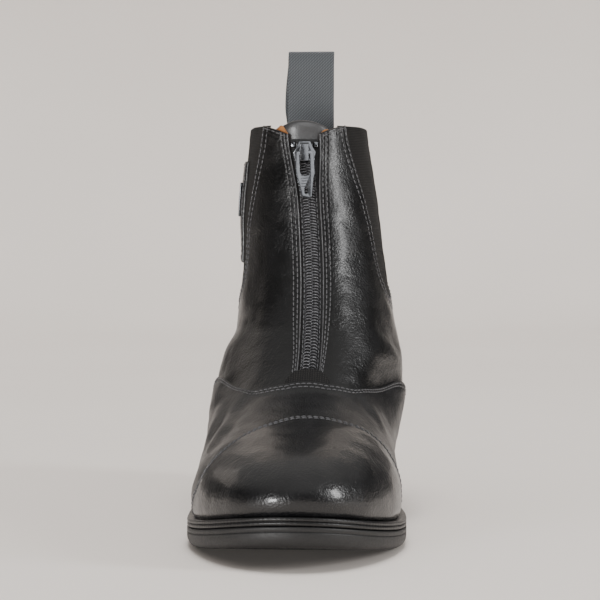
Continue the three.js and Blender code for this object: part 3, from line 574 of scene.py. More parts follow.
def addNode(material, kind, links=(), **settings):
    # Adds a node with its settings, and links (input, node, output) into it
    tree = material.node_tree
    node = tree.nodes.new(kind)
    for key, value in settings.items():
        if key.startswith("in_"):
            name = key[3:]
            socket = node.inputs[int(name)] if name.isdigit() else node.inputs[name.replace("_", " ")]
            socket.default_value = value
        else:
            setattr(node, key, value)
    for target, source, output in links:
        tree.links.new(source.outputs[output], node.inputs[target])
    return node


def newMaterial(name, **settings):
    # a material with its constant values set on the shader itself
    material = bpy.data.materials.new(name)
    material.use_nodes = True
    shader = material.node_tree.nodes["Principled BSDF"]
    for key, value in settings.items():
        shader.inputs[key.replace("_", " ")].default_value = value
    return material, shader


def ramp(material, source, stops, output=0):
    # straight steps of colour or number between stops of (value, hex colour or number)
    node = addNode(material, "ShaderNodeValToRGB", [("Fac", source, output)])
    elements = node.color_ramp.elements
    while len(elements) < len(stops):
        elements.new(0.5)
    for element, (place, colour) in zip(elements, stops):
        element.position = place
        element.color = linear(colour) if isinstance(colour, str) else [colour] * 3 + [1]
    return node


# Panels: a patch lies between two lines A and B on the skin, both as turns and shares
panels = {
    "lap": 5.0,              # how far one panel runs on under the next
    "sharePerMm": 0.0035,    # of the skin's rows, over the toe
    "lapHeight": 0.95,       # of what lies under the toe cap's edge
    "laid": 0.08,            # gap under a panel that lies on another
    "leather": 1.0,
    "vampHeight": 1.3,       # of the outer face above the quarters'
    "capHeight": 1.8,
    "rim": 0.75,             # radius of a skived and folded edge
    "seamRim": 0.35,
    "stitchRows": (1.9, 4.1),
    "goreRows": (1.4, 5.0),
    "stitchDip": 0.2,
    "stitchDipWidth": 0.6,
    "rimSteps": 5,
    "fineSteps": 13,
    "fine": 7.0,             # width of the finely gridded band beside each edge
}


def edgePlaces(rim):
    # distances from an edge: packed by a quarter circle inside its rim, then finely to a set width
    if rim == 0:
        return np.zeros(1)
    angles = np.linspace(0, np.pi / 2, panels["rimSteps"] + 1)
    band = np.linspace(rim, panels["fine"], panels["fineSteps"])
    return np.concatenate([rim * (1 - np.cos(angles)), band[1:]])


def ruler(lineA, lineB):
    # Straight lines of the turn and share plane from A to B, measured on the skin. Returns their
    # lengths and a function that turns distances from A into turns and shares.
    samples = np.linspace(0, 1, 65)
    turn = lineA[0] + (lineB[0] - lineA[0]) * samples[:, None]
    share = lineA[1] + (lineB[1] - lineA[1]) * samples[:, None]
    points = readGrid(skinPoints, turn, share)
    steps = np.linalg.norm(np.diff(points, axis=0), axis=-1)
    gone = np.concatenate([np.zeros((1, steps.shape[1])), np.cumsum(steps, 0)])

    def place(fromA):
        below = np.clip((gone[None] <= fromA[:, None]).sum(1) - 1, 0, len(samples) - 2)
        low, high = np.take_along_axis(gone, below, 0), np.take_along_axis(gone, below + 1, 0)
        part = (below + (fromA - low) / np.maximum(high - low, 1e-9)) / (len(samples) - 1)
        return lineA[0] + (lineB[0] - lineA[0]) * part, lineA[1] + (lineB[1] - lineA[1]) * part

    return np.maximum(gone[-1], 1e-4), place


def patch(lineA, lineB, rimA, rimB, count):
    # A grid with rows from A to B, packed near the edges. Returns turn, share and the distances in
    # mm from A and from B.
    length, place = ruler(lineA, lineB)
    start, end = edgePlaces(rimA), edgePlaces(rimB)
    fit = np.minimum(1, length / (start[-1] + end[-1] + 4))
    middle = np.linspace(0, 1, count + 2)[1:-1, None]
    first, final = start[-1] * fit, length - end[-1] * fit
    between = first + (final - first) * middle
    fromA = np.concatenate([start[:, None] * fit, between, length - end[::-1, None] * fit])
    turn, share = place(fromA)
    return turn, share, fromA, length - fromA


def evenLine(line, count):
    # the same line with its points spread evenly by distance on the skin
    points = readGrid(skinPoints, *line)
    gone = np.concatenate([[0], np.cumsum(np.linalg.norm(np.diff(points, axis=0), axis=-1))])
    places = np.linspace(0, gone[-1], count)
    return np.interp(places, gone, line[0]), np.interp(places, gone, line[1])


def rounded(distance, radius):
    # quarter circle from 0 at an edge to 1 at its radius
    return np.sqrt(1 - (1 - np.clip(distance / radius, 0, 1))**2)


def dips(distance):
    # the two rows of stitches pull the leather down a little
    rows = panels["stitchRows"]
    pull = sum(np.exp(-((distance - row) / panels["stitchDipWidth"])**2) for row in rows)
    return -panels["stitchDip"] * pull


def firstCrossing(values):
    # share of the first row where a column turns from negative to positive, 0 where it starts so
    outside = values > 0
    row = np.argmax(outside, 0)
    columns = np.arange(values.shape[1])
    before = values[np.maximum(row - 1, 0), columns]
    after = values[row, columns]
    share = (row - after / (after - before + 1e-12)) / last["along"]
    return np.where(row == 0, 0, share)


def capSide(points):
    # positive behind the toe cap's seam, whose station follows the height and the side
    height = points[..., 2] / last["instep"]
    side = smooth(points[..., 0], -12, 14)
    return points[..., 1] - mix(capEdge[-1](height), capEdge[1](height), side) * last["length"]


def vampSide(points):
    # positive past the vamp's upper seam; ahead of its first station everything is vamp
    share = points[..., 1] / last["length"]
    side = smooth(points[..., 0], -10, 22)
    height = mix(vampEdge[-1](share), vampEdge[1](share), side) * last["instep"]
    return np.minimum(points[..., 1] - vampTable[0, 0] * last["length"], points[..., 2] - height)


def seamLine(values):
    # turns across the toe, lateral to medial, and the shares where the seam crosses them
    crossing = firstCrossing(values)
    turns = np.arange(last["around"]) / last["around"]
    turns = np.where(turns > 0.5, turns - 1, turns)
    order = np.argsort(turns)
    turns, crossing = turns[order], crossing[order]
    keep = crossing > 0
    first, final = np.argmax(keep), len(keep) - 1 - np.argmax(keep[::-1])
    return turns[first - 1:final + 2], crossing[first - 1:final + 2]


capLine = evenLine(seamLine(capSide(skinPoints)), 300)
vampLine = evenLine(seamLine(vampSide(skinPoints)), 430)


def makeToeCap(leather):
    # From the feather line to the seam, which is skived, folded and lies on the vamp: the outer face
    # is the base plus the cap's height, rounded down along the seam
    toeEdge = (capLine[0], np.zeros_like(capLine[1]))
    turn, share, _, fromSeam = patch(toeEdge, capLine, 0, panels["rim"], 56)
    off = smooth(fromSeam, panels["lap"] + 1, panels["lap"] + 4)
    base = mix(panels["lapHeight"], last["clearance"], off)
    top = panels["capHeight"] - base + dips(fromSeam)
    outer, _ = skin(turn, share, base + top * rounded(fromSeam, panels["rim"]))
    inner, _ = skin(turn, share, base)
    piece = shell("toe_cap_leather", outer, inner)
    return finish(piece, "boot", leather, "polished_leather", "toe_cap")


def makeVamp(leather):
    # From under the toe cap, or from the feather line, to the seam over the quarters: the outer face
    # is lower where the cap hides it and rounded down along the seam
    order = np.argsort(capLine[0])
    under = np.interp(vampLine[0], capLine[0][order], capLine[1][order], left=0, right=0)
    start = np.maximum(under - panels["lap"] * panels["sharePerMm"], 0)
    turn, share, _, fromSeam = patch((vampLine[0], start), vampLine, 0, panels["rim"], 84)
    points = readGrid(skinPoints, turn, share)
    hidden = 1 - smooth(capSide(points), -0.4, 0.3)
    height = mix(panels["vampHeight"], panels["lapHeight"] - 0.05, hidden)
    base = panels["laid"]
    top = height - base + dips(fromSeam)
    outer, _ = skin(turn, share, base + top * rounded(fromSeam, panels["rim"]))
    inner, _ = skin(turn, share, base)
    piece = shell("vamp_leather", outer, inner)
    return finish(piece, "boot", leather, "black_leather", "vamp")


# Zip throat and elastic gores, as the quarters are cut for them
throat = {
    "bottom": 77.0,
    "opening": 11.3,
    "flare": 5.6,
    "flareLength": 35.0,
    "flareDrop": 5.0,
    "hiddenBottom": 69.5,     # where the quarters' front edges end, under the vamp
    "even": 118.0,            # height down to which the panel's columns run level
    "backFrom": 24.0,         # height where the back seam's columns start
}
gores = {
    "top": 58.0,
    "waist": 42.0,
    "bottom": 110.0,
    "flareLength": 60.0,
    "behindFront": 41.7,
    "overlap": 4.0,
    "thickness": 1.4,
    "depth": -1.15,           # of their outer face under the leather's, at the cut edge
    "swell": {-1: 0.45, 1: 1.15},
}
goreStation = float(legRow(np.array(last["collar"]))[0]) + gores["behindFront"]
goreRound = gores["bottom"] + gores["waist"] / 2


def zipMiddle(z):
    # x of the leg's middle, which the zip follows
    return legRow(z)[4]


def throatHalf(z):
    # half the gap between the quarters' front edges: even below, flared smoothly near the collar
    top = last["collar"] - throat["flareDrop"]
    return throat["opening"] / 2 + throat["flare"] / 2 * smooth(z, top - throat["flareLength"], top)


def goreHalf(z):
    # half the gore's width: the waist below, widening smoothly up to the collar
    wide = smooth(z, last["collar"] - gores["flareLength"], last["collar"])
    return mix(gores["waist"], gores["top"], wide) / 2


def quarterLines(side):
    # The gore's U from the front of the collar to the back, and the line around it: down the zip,
    # under the vamp to the feather line, round the heel and up the back seam
    straight = np.linspace(panels["fine"], last["collar"] - goreRound, 58)[1:]
    depths = np.concatenate([edgePlaces(panels["rim"]), straight])
    z = last["collar"] - depths
    angles = np.linspace(np.pi, 2 * np.pi, 202)[1:-1]
    radius = gores["waist"] / 2
    front = np.stack([goreStation - goreHalf(z), z], -1)
    below = np.stack([goreStation + radius * np.cos(angles), goreRound + radius * np.sin(angles)], -1)
    rear = np.stack([goreStation + goreHalf(z), z], -1)[::-1]

    def onSide(p):
        return (p[..., 0] * side > 8) & (p[..., 1] > 130) & (p[..., 2] > 80)

    def inFront(p):
        near = (p[..., 0] * side > -12) & (np.abs(p[..., 0]) < 32)
        return near & (p[..., 1] > 90) & (p[..., 1] < 176) & (p[..., 2] > 60)

    gore = locate(np.concatenate([front, below, rear]), [1, 2], onSide)
    top = last["collar"] - last["collarDip"] * 0.72
    zipZ = top - depths * (top - throat["even"]) / depths[-1]
    downZ = np.linspace(throat["even"], throat["hiddenBottom"], 41)[1:]
    allZ = np.concatenate([zipZ, downZ])
    edge = np.stack([zipMiddle(allZ) + side * throatHalf(allZ), allZ], -1)
    zipTurn, zipShare = locate(edge, [0, 2], inFront)
    zipTurn = np.where(zipTurn > 0.5, zipTurn - 1, zipTurn)
    goreTurn = np.where(gore[0] > 0.5, gore[0] - 1, gore[0])
    corner, heel = side * 0.22, side * 0.5
    toFeather = np.linspace(0, 1, 41)[1:]
    back = np.linspace(0, 1, 81)[1:]
    rest = len(angles) - len(downZ) - len(toFeather) - len(back)
    upBack = np.linspace(throat["backFrom"], throat["even"], rest + 1)[1:]
    toCollar = throat["even"] + (last["collar"] - throat["even"]) * (1 - depths[::-1] / depths[-1])
    rearShare = readShare(heel, np.concatenate([upBack, toCollar]))
    turn = np.concatenate([zipTurn, mix(zipTurn[-1], corner, toFeather), mix(corner, heel, back),
                           np.full(len(rearShare), heel)])
    share = np.concatenate([zipShare, mix(zipShare[-1], 0, toFeather), np.zeros(len(back)), rearShare])
    share[0], share[-1], gore[1][0], gore[1][-1] = 1, 1, 1, 1
    fromCollar = np.concatenate([depths, np.full(len(angles), 99.0), depths[::-1]])
    return (goreTurn, gore[1]), (turn, share), fromCollar


def readShare(turn, heights):
    # shares at which the skin's column at this turn passes the given heights
    shares = np.linspace(0, 1, 400)
    z = readGrid(skinPoints, np.full(400, turn), shares)[:, 2]
    return np.interp(heights, z, shares)


lining = {
    "gap": 0.05,
    "thick": 0.95,
    "rows": 7,                # of the grid that it stays back from the gore, past the rim's
    "fromCollar": 0.8,
    "collarRim": 1.2,
    "fromZip": 1.2,
    "zipRim": 1.5,
}


def makeQuarter(side, leather, tan):
    # Leather between the gore's edge and the zip, vamp, sole and back seam, with its edges rounded
    # down to its inner face. The lining under it stays back from the cut edges.
    name = "lateral" if side < 0 else "medial"
    gore, around, fromCollar = quarterLines(side)
    turn, share, fromGore, fromFront = patch(gore, around, panels["rim"], panels["rim"], 62)
    onZip = (np.arange(turn.shape[1]) < len(fromCollar) * 0.4)[None]
    frontRim = rounded(fromFront, np.where(onZip, panels["rim"], panels["seamRim"]))
    edges = rounded(fromGore, panels["rim"]) * frontRim * rounded(fromCollar[None], panels["rim"])
    sunk = dips(fromGore) + np.where(onZip, dips(fromFront), 0)
    sunk = sunk + dips(fromCollar[None] + 0 * fromGore) / 2
    low = -panels["leather"]
    outer, _ = skin(turn, share, low + (-low + sunk) * edges)
    inner, _ = skin(turn, share, low)
    quarter = shell("quarter_" + name, outer, inner)
    finish(quarter, "boot", leather, "black_leather", "upper")
    back = slice(panels["rimSteps"] + lining["rows"], None)
    edges = rounded(fromCollar[None] - lining["fromCollar"], lining["collarRim"])
    edges = edges * np.where(onZip, rounded(fromFront - lining["fromZip"], lining["zipRim"]), 1)
    low = low - lining["gap"]
    lined, _ = skin(turn[back], share[back], low + 0 * share[back])
    inside, _ = skin(turn[back], share[back], low - lining["thick"] * edges[back])
    inner = shell("lining_" + name, lined, inside)
    finish(inner, "boot", tan, "tan_lining", "upper")
    return turn, share, fromGore, fromFront, fromCollar, ruler(gore, around)


def millimetres(material, source="Object", scale=(1000, 1000, 1000)):
    # coordinates in mm, from the object's own metres, or from a UV map that already holds mm
    coordinates = addNode(material, "ShaderNodeTexCoord")
    return addNode(material, "ShaderNodeMapping", [("Vector", coordinates, source)],
                   in_Scale=scale if source == "Object" else (1, 1, 1))


def noise(material, place, size, detail=2.0, roughness=0.5, distortion=0.0):
    # size is that of one blotch in mm
    return addNode(material, "ShaderNodeTexNoise", [("Vector", place, "Vector")], in_Scale=1 / size,
                   in_Detail=detail, in_Roughness=roughness, in_Distortion=distortion)


def bands(material, place, direction, period):
    # stripes with the given period in mm
    spread = math.pi / (5 if direction == "DIAGONAL" else 10)
    return addNode(material, "ShaderNodeTexWave", [("Vector", place, "Vector")],
                   bands_direction=direction, in_Scale=spread / period)


def relate(material, operation, first, second, output=0):
    # one value of two sources, or of a source and a number
    links = [(0, first, output)]
    settings = {"operation": operation}
    if isinstance(second, (int, float)):
        settings["in_1"] = second
    else:
        links.append((1, second, 0))
    return addNode(material, "ShaderNodeMath", links, **settings)


def bump(material, shader, layers):
    # layers of (source, output, strength, height in mm), from the coarsest to the finest
    before = None
    for source, output, strength, height in layers:
        links = [("Height", source, output)] + ([("Normal", before, "Normal")] if before else [])
        before = addNode(material, "ShaderNodeBump", links, in_Strength=strength,
                         in_Distance=height * mm)
    material.node_tree.links.new(before.outputs["Normal"], shader.inputs["Normal"])


def paint(material, shader, socket, source, output="Color"):
    # what a source gives becomes the shader's colour or roughness
    material.node_tree.links.new(source.outputs[output], shader.inputs[socket])


def calf(name, dark, light, roughness, grain, coat, coatRoughness):
    # Calf, drum dyed black and finished with glazed wax: fine closed pores break up the edge of
    # each reflection, and rubbing leaves cloudy patches of more or less gloss. Pores of about
    # 0.2 mm are too fine to show, so they are drawn about 0.9 mm wide.
    material, shader = newMaterial(name, IOR=1.42, Coat_Weight=coat, Coat_Roughness=coatRoughness)
    place = millimetres(material)
    pores = addNode(material, "ShaderNodeTexVoronoi", [("Vector", place, "Vector")], in_Scale=1 / 0.95,
                    in_Randomness=1.0)
    cloud = noise(material, place, 14, 4, 0.6)
    fine = noise(material, place, 1.6, 3, 0.6)
    wrinkle = noise(material, place, 7, 3, 0.55, 0.6)
    paint(material, shader, "Base Color", ramp(material, cloud, [(0.3, dark), (0.75, light)]))
    gloss = ramp(material, cloud, [(0.3, roughness[0]), (0.7, roughness[1])])
    paint(material, shader, "Roughness", gloss)
    bump(material, shader, [(wrinkle, "Fac", 0.5 * grain, 0.7), (fine, "Fac", 0.7 * grain, 0.22),
                            (pores, "Distance", 0.6 * grain, 0.16)])
    return material


def suedeLining(name):
    # Vegetable tanned lining calf, unfinished: a matt, warm tan with a soft nap and darker rubbing
    material, shader = newMaterial(name, Sheen_Weight=0.25, Sheen_Roughness=0.5, IOR=1.45)
    place = millimetres(material)
    cloud = noise(material, place, 11, 4, 0.6)
    nap = noise(material, place, 0.9, 3, 0.7)
    paint(material, shader, "Base Color", ramp(material, cloud, [(0.3, "#8f5a2c"), (0.7, "#b67a42")]))
    paint(material, shader, "Roughness", ramp(material, nap, [(0.3, 0.55), (0.7, 0.75)]))
    bump(material, shader, [(cloud, "Fac", 0.25, 0.4), (nap, "Fac", 0.5, 0.12)])
    return material


def bondedThread(name, colour):
    # Bonded polyester thread, black, 0.7 mm: slightly glossy, so its rounds catch light as dots. It is
    # coloured grey, with light grey bands along its twist: painted highlight on a black thread.
    material, shader = newMaterial(name, IOR=1.5, Roughness=0.42)
    place = millimetres(material)
    twistAndHighlight = bands(material, place, "DIAGONAL", 0.8)
    # painted highlight: the bands along the twist run from the thread's grey up to light grey
    paint(material, shader, "Base Color", ramp(material, twistAndHighlight, [(0.2, colour), (0.9, "#747477")]))
    bump(material, shader, [(twistAndHighlight, "Fac", 0.3, 0.08)])
    return material


def elasticWeb(name):
    # Woven elastic with covered rubber cords: upright ribs, crossed by fine picks, quite matt, with
    # a brownish cast where the covering thins. Ribs of 0.7 mm are drawn 1.1 mm apart to show.
    material, shader = newMaterial(name, Sheen_Weight=0.03, Sheen_Roughness=0.4, IOR=1.3)
    place = millimetres(material, "UV")
    ribs = bands(material, place, "X", 1.15)
    picks = bands(material, place, "Y", 0.85)
    weave = relate(material, "MULTIPLY", ribs, picks)
    fuzz = noise(material, place, 0.8, 3, 0.7)
    shade = relate(material, "ADD", relate(material, "MULTIPLY", weave, 0.6),
                   relate(material, "MULTIPLY", fuzz, 0.5))
    paint(material, shader, "Base Color",
          ramp(material, shade, [(0.15, "#0b0b0c"), (0.5, "#1b1a1a"), (0.9, "#343230")]))
    paint(material, shader, "Roughness", ramp(material, fuzz, [(0.3, 0.7), (0.7, 0.9)]))
    bump(material, shader, [(ribs, "Fac", 0.5, 0.25), (picks, "Fac", 0.45, 0.15),
                            (fuzz, "Fac", 0.4, 0.1)])
    return material


def twillWebbing(name):
    # Polyester webbing woven in twill: fine slanting lines across charcoal yarns with a soft sheen,
    # and plain selvedges. Yarns of 0.5 mm are drawn a little coarser.
    material, shader = newMaterial(name, Sheen_Weight=0.5, Sheen_Roughness=0.35, IOR=1.5)
    place = millimetres(material, "UV")
    twill = bands(material, place, "DIAGONAL", 1.7)
    yarn = bands(material, place, "X", 0.9)
    cross = bands(material, place, "Y", 0.7)
    fuzz = noise(material, place, 0.7, 3, 0.7)
    weave = relate(material, "ADD", relate(material, "MULTIPLY", twill, 0.5),
                   relate(material, "MULTIPLY", yarn, 0.25))
    shade = relate(material, "ADD", weave, relate(material, "MULTIPLY", fuzz, 0.3))
    paint(material, shader, "Base Color",
          ramp(material, shade, [(0.1, "#25272a"), (0.5, "#3d4043"), (0.95, "#5d6165")]))
    paint(material, shader, "Roughness", ramp(material, fuzz, [(0.3, 0.6), (0.7, 0.8)]))
    bump(material, shader, [(twill, "Fac", 0.5, 0.22), (yarn, "Fac", 0.4, 0.12),
                            (cross, "Fac", 0.35, 0.1)])
    return material


def zipTapeCloth(name):
    # Herringbone polyester tape: matt black with fine upright yarns
    material, shader = newMaterial(name, Sheen_Weight=0.2, Sheen_Roughness=0.4, IOR=1.5)
    place = millimetres(material, "UV")
    yarn = bands(material, place, "X", 0.8)
    picks = bands(material, place, "Y", 0.9)
    weave = relate(material, "MULTIPLY", yarn, picks)
    paint(material, shader, "Base Color", ramp(material, weave, [(0.1, "#0b0b0c"), (0.9, "#242426")]))
    paint(material, shader, "Roughness", ramp(material, weave, [(0.2, 0.85), (0.9, 0.65)]))
    bump(material, shader, [(weave, "Value", 0.5, 0.15)])
    return material


def nylonWire(name):
    # Extruded nylon monofilament, heat set: smooth and satin. It is painted dark grey all over: painted
    # sheen, the look the black nylon has where light grazes it.
    material, shader = newMaterial(name, IOR=1.53)
    place = millimetres(material)
    cloud = noise(material, place, 2.2, 2)
    # painted sheen: a grey base well above the black of the nylon
    paint(material, shader, "Base Color", ramp(material, cloud, [(0.3, "#3a3a3c"), (0.7, "#58585c")]))
    paint(material, shader, "Roughness", ramp(material, cloud, [(0.3, 0.22), (0.7, 0.32)]))
    return material


def edgePaint(name):
    # Acrylic edge paint on the cut edges of leather: a thin glossy bead that draws a line of light. Its
    # grey, lighter than the black leather, is painted highlight along the edge.
    material, shader = newMaterial(name, IOR=1.5)
    place = millimetres(material)
    cloud = noise(material, place, 3, 2)
    # painted highlight: a grey base well above the leather's black
    paint(material, shader, "Base Color", ramp(material, cloud, [(0.3, "#3c3c3d"), (0.7, "#4e4e50")]))
    paint(material, shader, "Roughness", ramp(material, cloud, [(0.3, 0.22), (0.7, 0.3)]))
    return material


def blackNickel(name):
    # Die-cast zinc with black nickel plate, barrel polished: a dark mirror with faint handling marks
    material, shader = newMaterial(name, Metallic=1.0)
    place = millimetres(material)
    marks = noise(material, place, 1.8, 4, 0.7)
    paint(material, shader, "Base Color", ramp(material, marks, [(0.3, "#4c4d50"), (0.7, "#5f6164")]))
    paint(material, shader, "Roughness", ramp(material, marks, [(0.3, 0.17), (0.7, 0.23)]))
    bump(material, shader, [(marks, "Fac", 0.05, 0.05)])
    return material


def mouldedRubber(name, dark, light, roughness, lines):
    # Nitrile rubber, compression moulded: satin with a faint stipple from the mould, greyer where
    # it is scuffed. Lines run around the edge where the mould was milled.
    material, shader = newMaterial(name, IOR=1.52)
    place = millimetres(material)
    cloud = noise(material, place, 9, 4, 0.65)
    stipple = noise(material, place, 0.9, 2, 0.6)
    layers = [(cloud, "Fac", 0.2, 0.2), (stipple, "Fac", 0.4, 0.1)]
    if lines:
        edge = millimetres(material, "UV")
        layers.append((bands(material, edge, "X", lines), "Fac", 0.35, 0.18))
    paint(material, shader, "Base Color", ramp(material, cloud, [(0.3, dark), (0.75, light)]))
    gloss = ramp(material, stipple, [(0.3, roughness), (0.7, roughness + 0.16)])
    paint(material, shader, "Roughness", gloss)
    bump(material, shader, layers)
    return material


def paperSweep(name, colour, other):
    # Background paper: matt, with a barely visible unevenness
    material, shader = newMaterial(name, Roughness=0.9)
    place = millimetres(material)
    cloud = noise(material, place, 420, 2)
    paint(material, shader, "Base Color", ramp(material, cloud, [(0.3, colour), (0.7, other)]))
    return material


materials = {
    "quarter": calf("glazed box calf", "#060607", "#0e0e10", (0.30, 0.42), 1.2, 0.22, 0.24),
    # the vamp's calf is coloured lighter than the quarters' black: painted light, for the front light
    # falling on the vamp
    "vamp": calf("waxed box calf", "#101012", "#1b1b1d", (0.35, 0.48), 1.1, 0.22, 0.24),
    "cap": calf("spit polished box calf", "#0c0c0e", "#161618", (0.30, 0.40), 1.0, 0.36, 0.14),
    # the tongue's leather is coloured mid grey, far lighter than the boot's black: painted highlight
    # for the light on its front
    "tongue": calf("glazed goat leather", "#2a2a2b", "#39393a", (0.34, 0.44), 0.5, 0.3, 0.28),
    "tan": suedeLining("vegetable tanned lining calf"),
    "thread": bondedThread("bonded polyester thread", "#313133"),
    "zipThread": bondedThread("zip sewing thread", "#161618"),
    "elastic": elasticWeb("woven elastic"),
    "webbing": twillWebbing("twill woven polyester webbing"),
    "tape": zipTapeCloth("herringbone polyester tape"),
    "edge": edgePaint("acrylic edge paint"),
    "wire": nylonWire("heat set nylon wire"),
    "nickel": blackNickel("black nickel plated zinc"),
    "rubber": mouldedRubber("moulded nitrile rubber", "#121213", "#1d1d1e", 0.48, 0),
    "welt": mouldedRubber("moulded rubber welt", "#0d0d0e", "#171718", 0.34, 2.4),
}
print("materials made")


def castAlong(direction, x, station, z, offset=0.0):
    # Faces of the leg seen along one axis, also just above the collar: rays from the leg's middle
    # meet the field's zero, then each point moves out along the field's gradient
    x, station, z = np.broadcast_arrays(x, station, z)
    points = reach(np.stack([x, station, z], -1).astype(float), np.array(direction, float))
    normals = unit(slope(points))
    out = np.asarray(offset, float) + relief(points)
    return points + normals * out[..., None], normals


def frontFace(across, z, offset=0.0):
    # the leg's front seen along its length; across is measured from the zip's middle
    front, back, _, _, centre = legRow(z)
    return castAlong((0, -1, 0), centre + across, (front + back) / 2, z, offset)


def sideFace(side, station, z, offset=0.0):
    # the leg's side seen straight across
    return castAlong((side, 0, 0), legRow(z)[4], station, z, offset)


def backFace(x, z, offset=0.0):
    # the leg's back seen along its length
    front, back, _, _, _ = legRow(z)
    return castAlong((0, 1, 0), x, (front + back) / 2, z, offset)


def lengthAlong(line):
    # distance walked along the points of a line, from 0
    steps = np.linalg.norm(np.diff(line, axis=0), axis=-1)
    return np.concatenate([[0], np.cumsum(steps)])


def sweep(paths, normals, radii, sides):
    # Round threads: around each path point a ring of radius r stands in the plane of the normal and
    # of the direction across the path, and both ends are closed
    count, steps = paths.shape[:2]
    along = unit(np.gradient(paths, axis=1))
    across = unit(np.cross(along, normals))
    up = np.cross(across, along)
    angle = 2 * np.pi * np.arange(sides) / sides
    rings = (up[:, :, None] * np.cos(angle)[:, None] + across[:, :, None] * np.sin(angle)[:, None])
    points = paths[:, :, None] + rings * np.broadcast_to(radii, (count, steps))[..., None, None]
    first = (np.arange(count) * steps * sides)[:, None, None]
    quads = (gridFaces(steps, sides, wrapColumns=True)[None] + first).reshape(-1, 4)
    ends = np.arange(sides)[None] + first[:, 0]
    caps = np.concatenate([ends, (ends + (steps - 1) * sides)[:, ::-1]])
    return points.reshape(-1, 3), [quads, caps]


thread = {
    "pitch": 2.8,
    "length": 2.25,
    "radius": 0.36,
    "bow": 0.22,      # rise of a stitch's middle over its ends
    "blunt": 0.93,    # share of the half circle that is kept, so that the ends stay open
    "sides": 6,
}


def stitchRows(name, rows, material, materialSlot="black_leather"):
    # Rows are lines of points with their normals. A stitch is a thread whose radius follows the
    # root of a half circle, bowed outwards along its length.
    t = np.array([-1.0, -0.72, 0.0, 0.72, 1.0])
    paths, normals = [], []

    def read(values):
        return np.stack([np.interp(places, gone, values[:, i]) for i in range(3)], -1)

    for line, lineNormals in rows:
        gone = lengthAlong(line)
        count = int(gone[-1] / thread["pitch"])
        if count < 1:
            continue
        middles = (np.arange(count) + 0.5) * gone[-1] / count
        places = middles[:, None] + t * thread["length"] / 2
        out = unit(read(lineNormals))
        paths.append(read(line) + out * (thread["bow"] * (1 - t**2))[:, None])
        normals.append(out)
    radii = thread["radius"] * np.sqrt(1 - (thread["blunt"] * t)**2)
    points, faces = sweep(np.concatenate(paths), np.concatenate(normals), radii, thread["sides"])
    return finish(makeMesh(name, points, faces), "boot", material, materialSlot)


def seamRow(place, fromA, height, keep=slice(None)):
    # one line of a panel at a distance from its line A, lifted to the panel's height
    turn, share = place(np.atleast_2d(fromA))
    points, normals = skin(turn[0, keep], share[0, keep], height)
    return points, normals


seamHeights = {"cap": 1.62, "vamp": 1.12, "quarter": -0.16}     # of the threads' middles

zipper = {
    "tapeHalf": 11.0,
    "tapeTop": -2.3,
    "tapeThick": 0.8,
    "tapeFrom": 75.0,
    "tapeTo": 194.4,
    "coilFrom": 79.4,
    "coilTo": 192.6,
    "pitch": 1.42,
    "wire": 0.37,
    "sides": 7,
    "sewing": 4.3,            # of the thread that holds the coil, from the middle
}
coilArch = np.array([         # across from the middle, height, share of half a pitch along the zip
    [3.35, -1.95, -1.0],
    [3.05, -1.00, -0.8],
    [2.30, -0.40, -0.4],
    [1.45, -0.58, 0.1],
    [0.75, -1.10, 0.5],
    [0.10, -1.75, 0.9],
])


def makeTape(material):
    # woven strip behind the coil, level in the middle, with square selvedges
    z = np.linspace(zipper["tapeFrom"], zipper["tapeTo"], 90)[:, None]
    across = np.linspace(-1, 1, 25)[None] * zipper["tapeHalf"]
    top = zipper["tapeTop"]
    outer, _ = frontFace(across, z, top)
    inner, _ = frontFace(across, z, top - zipper["tapeThick"])
    uv = np.stack(np.broadcast_arrays(across, z), -1)
    piece = shell("zip_tape_woven", outer, inner, uv=uv)
    return finish(piece, "boot", material, "zip_nylon", "zip_tape")


def makeCoil(material, sewing):
    # Each turn is an arch of nylon wire from the tape's sewing up and over to the middle; both
    # sides lean by half a pitch and lock between each other
    turns = np.arange(zipper["coilFrom"], zipper["coilTo"], zipper["pitch"])
    paths, normals = [], []
    for side, shift in ((-1, 0.0), (1, 0.5)):
        z = turns[:, None] + (shift + coilArch[None, :, 2] / 4) * zipper["pitch"]
        line, normal = frontFace(side * coilArch[None, :, 0], z, coilArch[:, 1])
        paths.append(line)
        normals.append(normal)
    points, faces = sweep(np.concatenate(paths), np.concatenate(normals), zipper["wire"],
                          zipper["sides"])
    finish(makeMesh("zip_coil_turns", points, faces), "boot", material, "zip_nylon", "zip_coil")
    z = np.linspace(zipper["coilFrom"], zipper["coilTo"], 200)
    rows = [frontFace(side * zipper["sewing"], z, zipper["tapeTop"] + 0.1) for side in (-1, 1)]
    return stitchRows("zip_coil_sewing", rows, sewing, "zip_nylon")


def softened(name, node, body, width, material, materialSlot):
    # The node's own shape with its triangles merged back to flat faces and its edges rounded
    piece = bpy.data.objects.new(name, nodes[node].data.copy())
    piece.data.transform(nodes[node].matrix_world)
    piece.data.materials.clear()
    bpy.context.scene.collection.objects.link(piece)
    work = bmesh.new()
    work.from_mesh(piece.data)
    bmesh.ops.remove_doubles(work, verts=work.verts, dist=0.002 * mm)
    bmesh.ops.dissolve_limit(work, angle_limit=math.radians(2), verts=work.verts, edges=work.edges)
    work.to_mesh(piece.data)
    work.free()
    bevel = piece.modifiers.new("rounded edges", "BEVEL")
    bevel.width = width * mm
    bevel.segments = 3
    bevel.limit_method = "ANGLE"
    bevel.angle_limit = math.radians(30)
    bevel.harden_normals = True
    piece.data.polygons.foreach_set("use_smooth", np.ones(len(piece.data.polygons), bool))
    return finish(piece, body, material, materialSlot, node)


pullRibs = {"count": 5, "from": -6.2, "to": -0.6, "half": 2.3, "radius": 0.28}


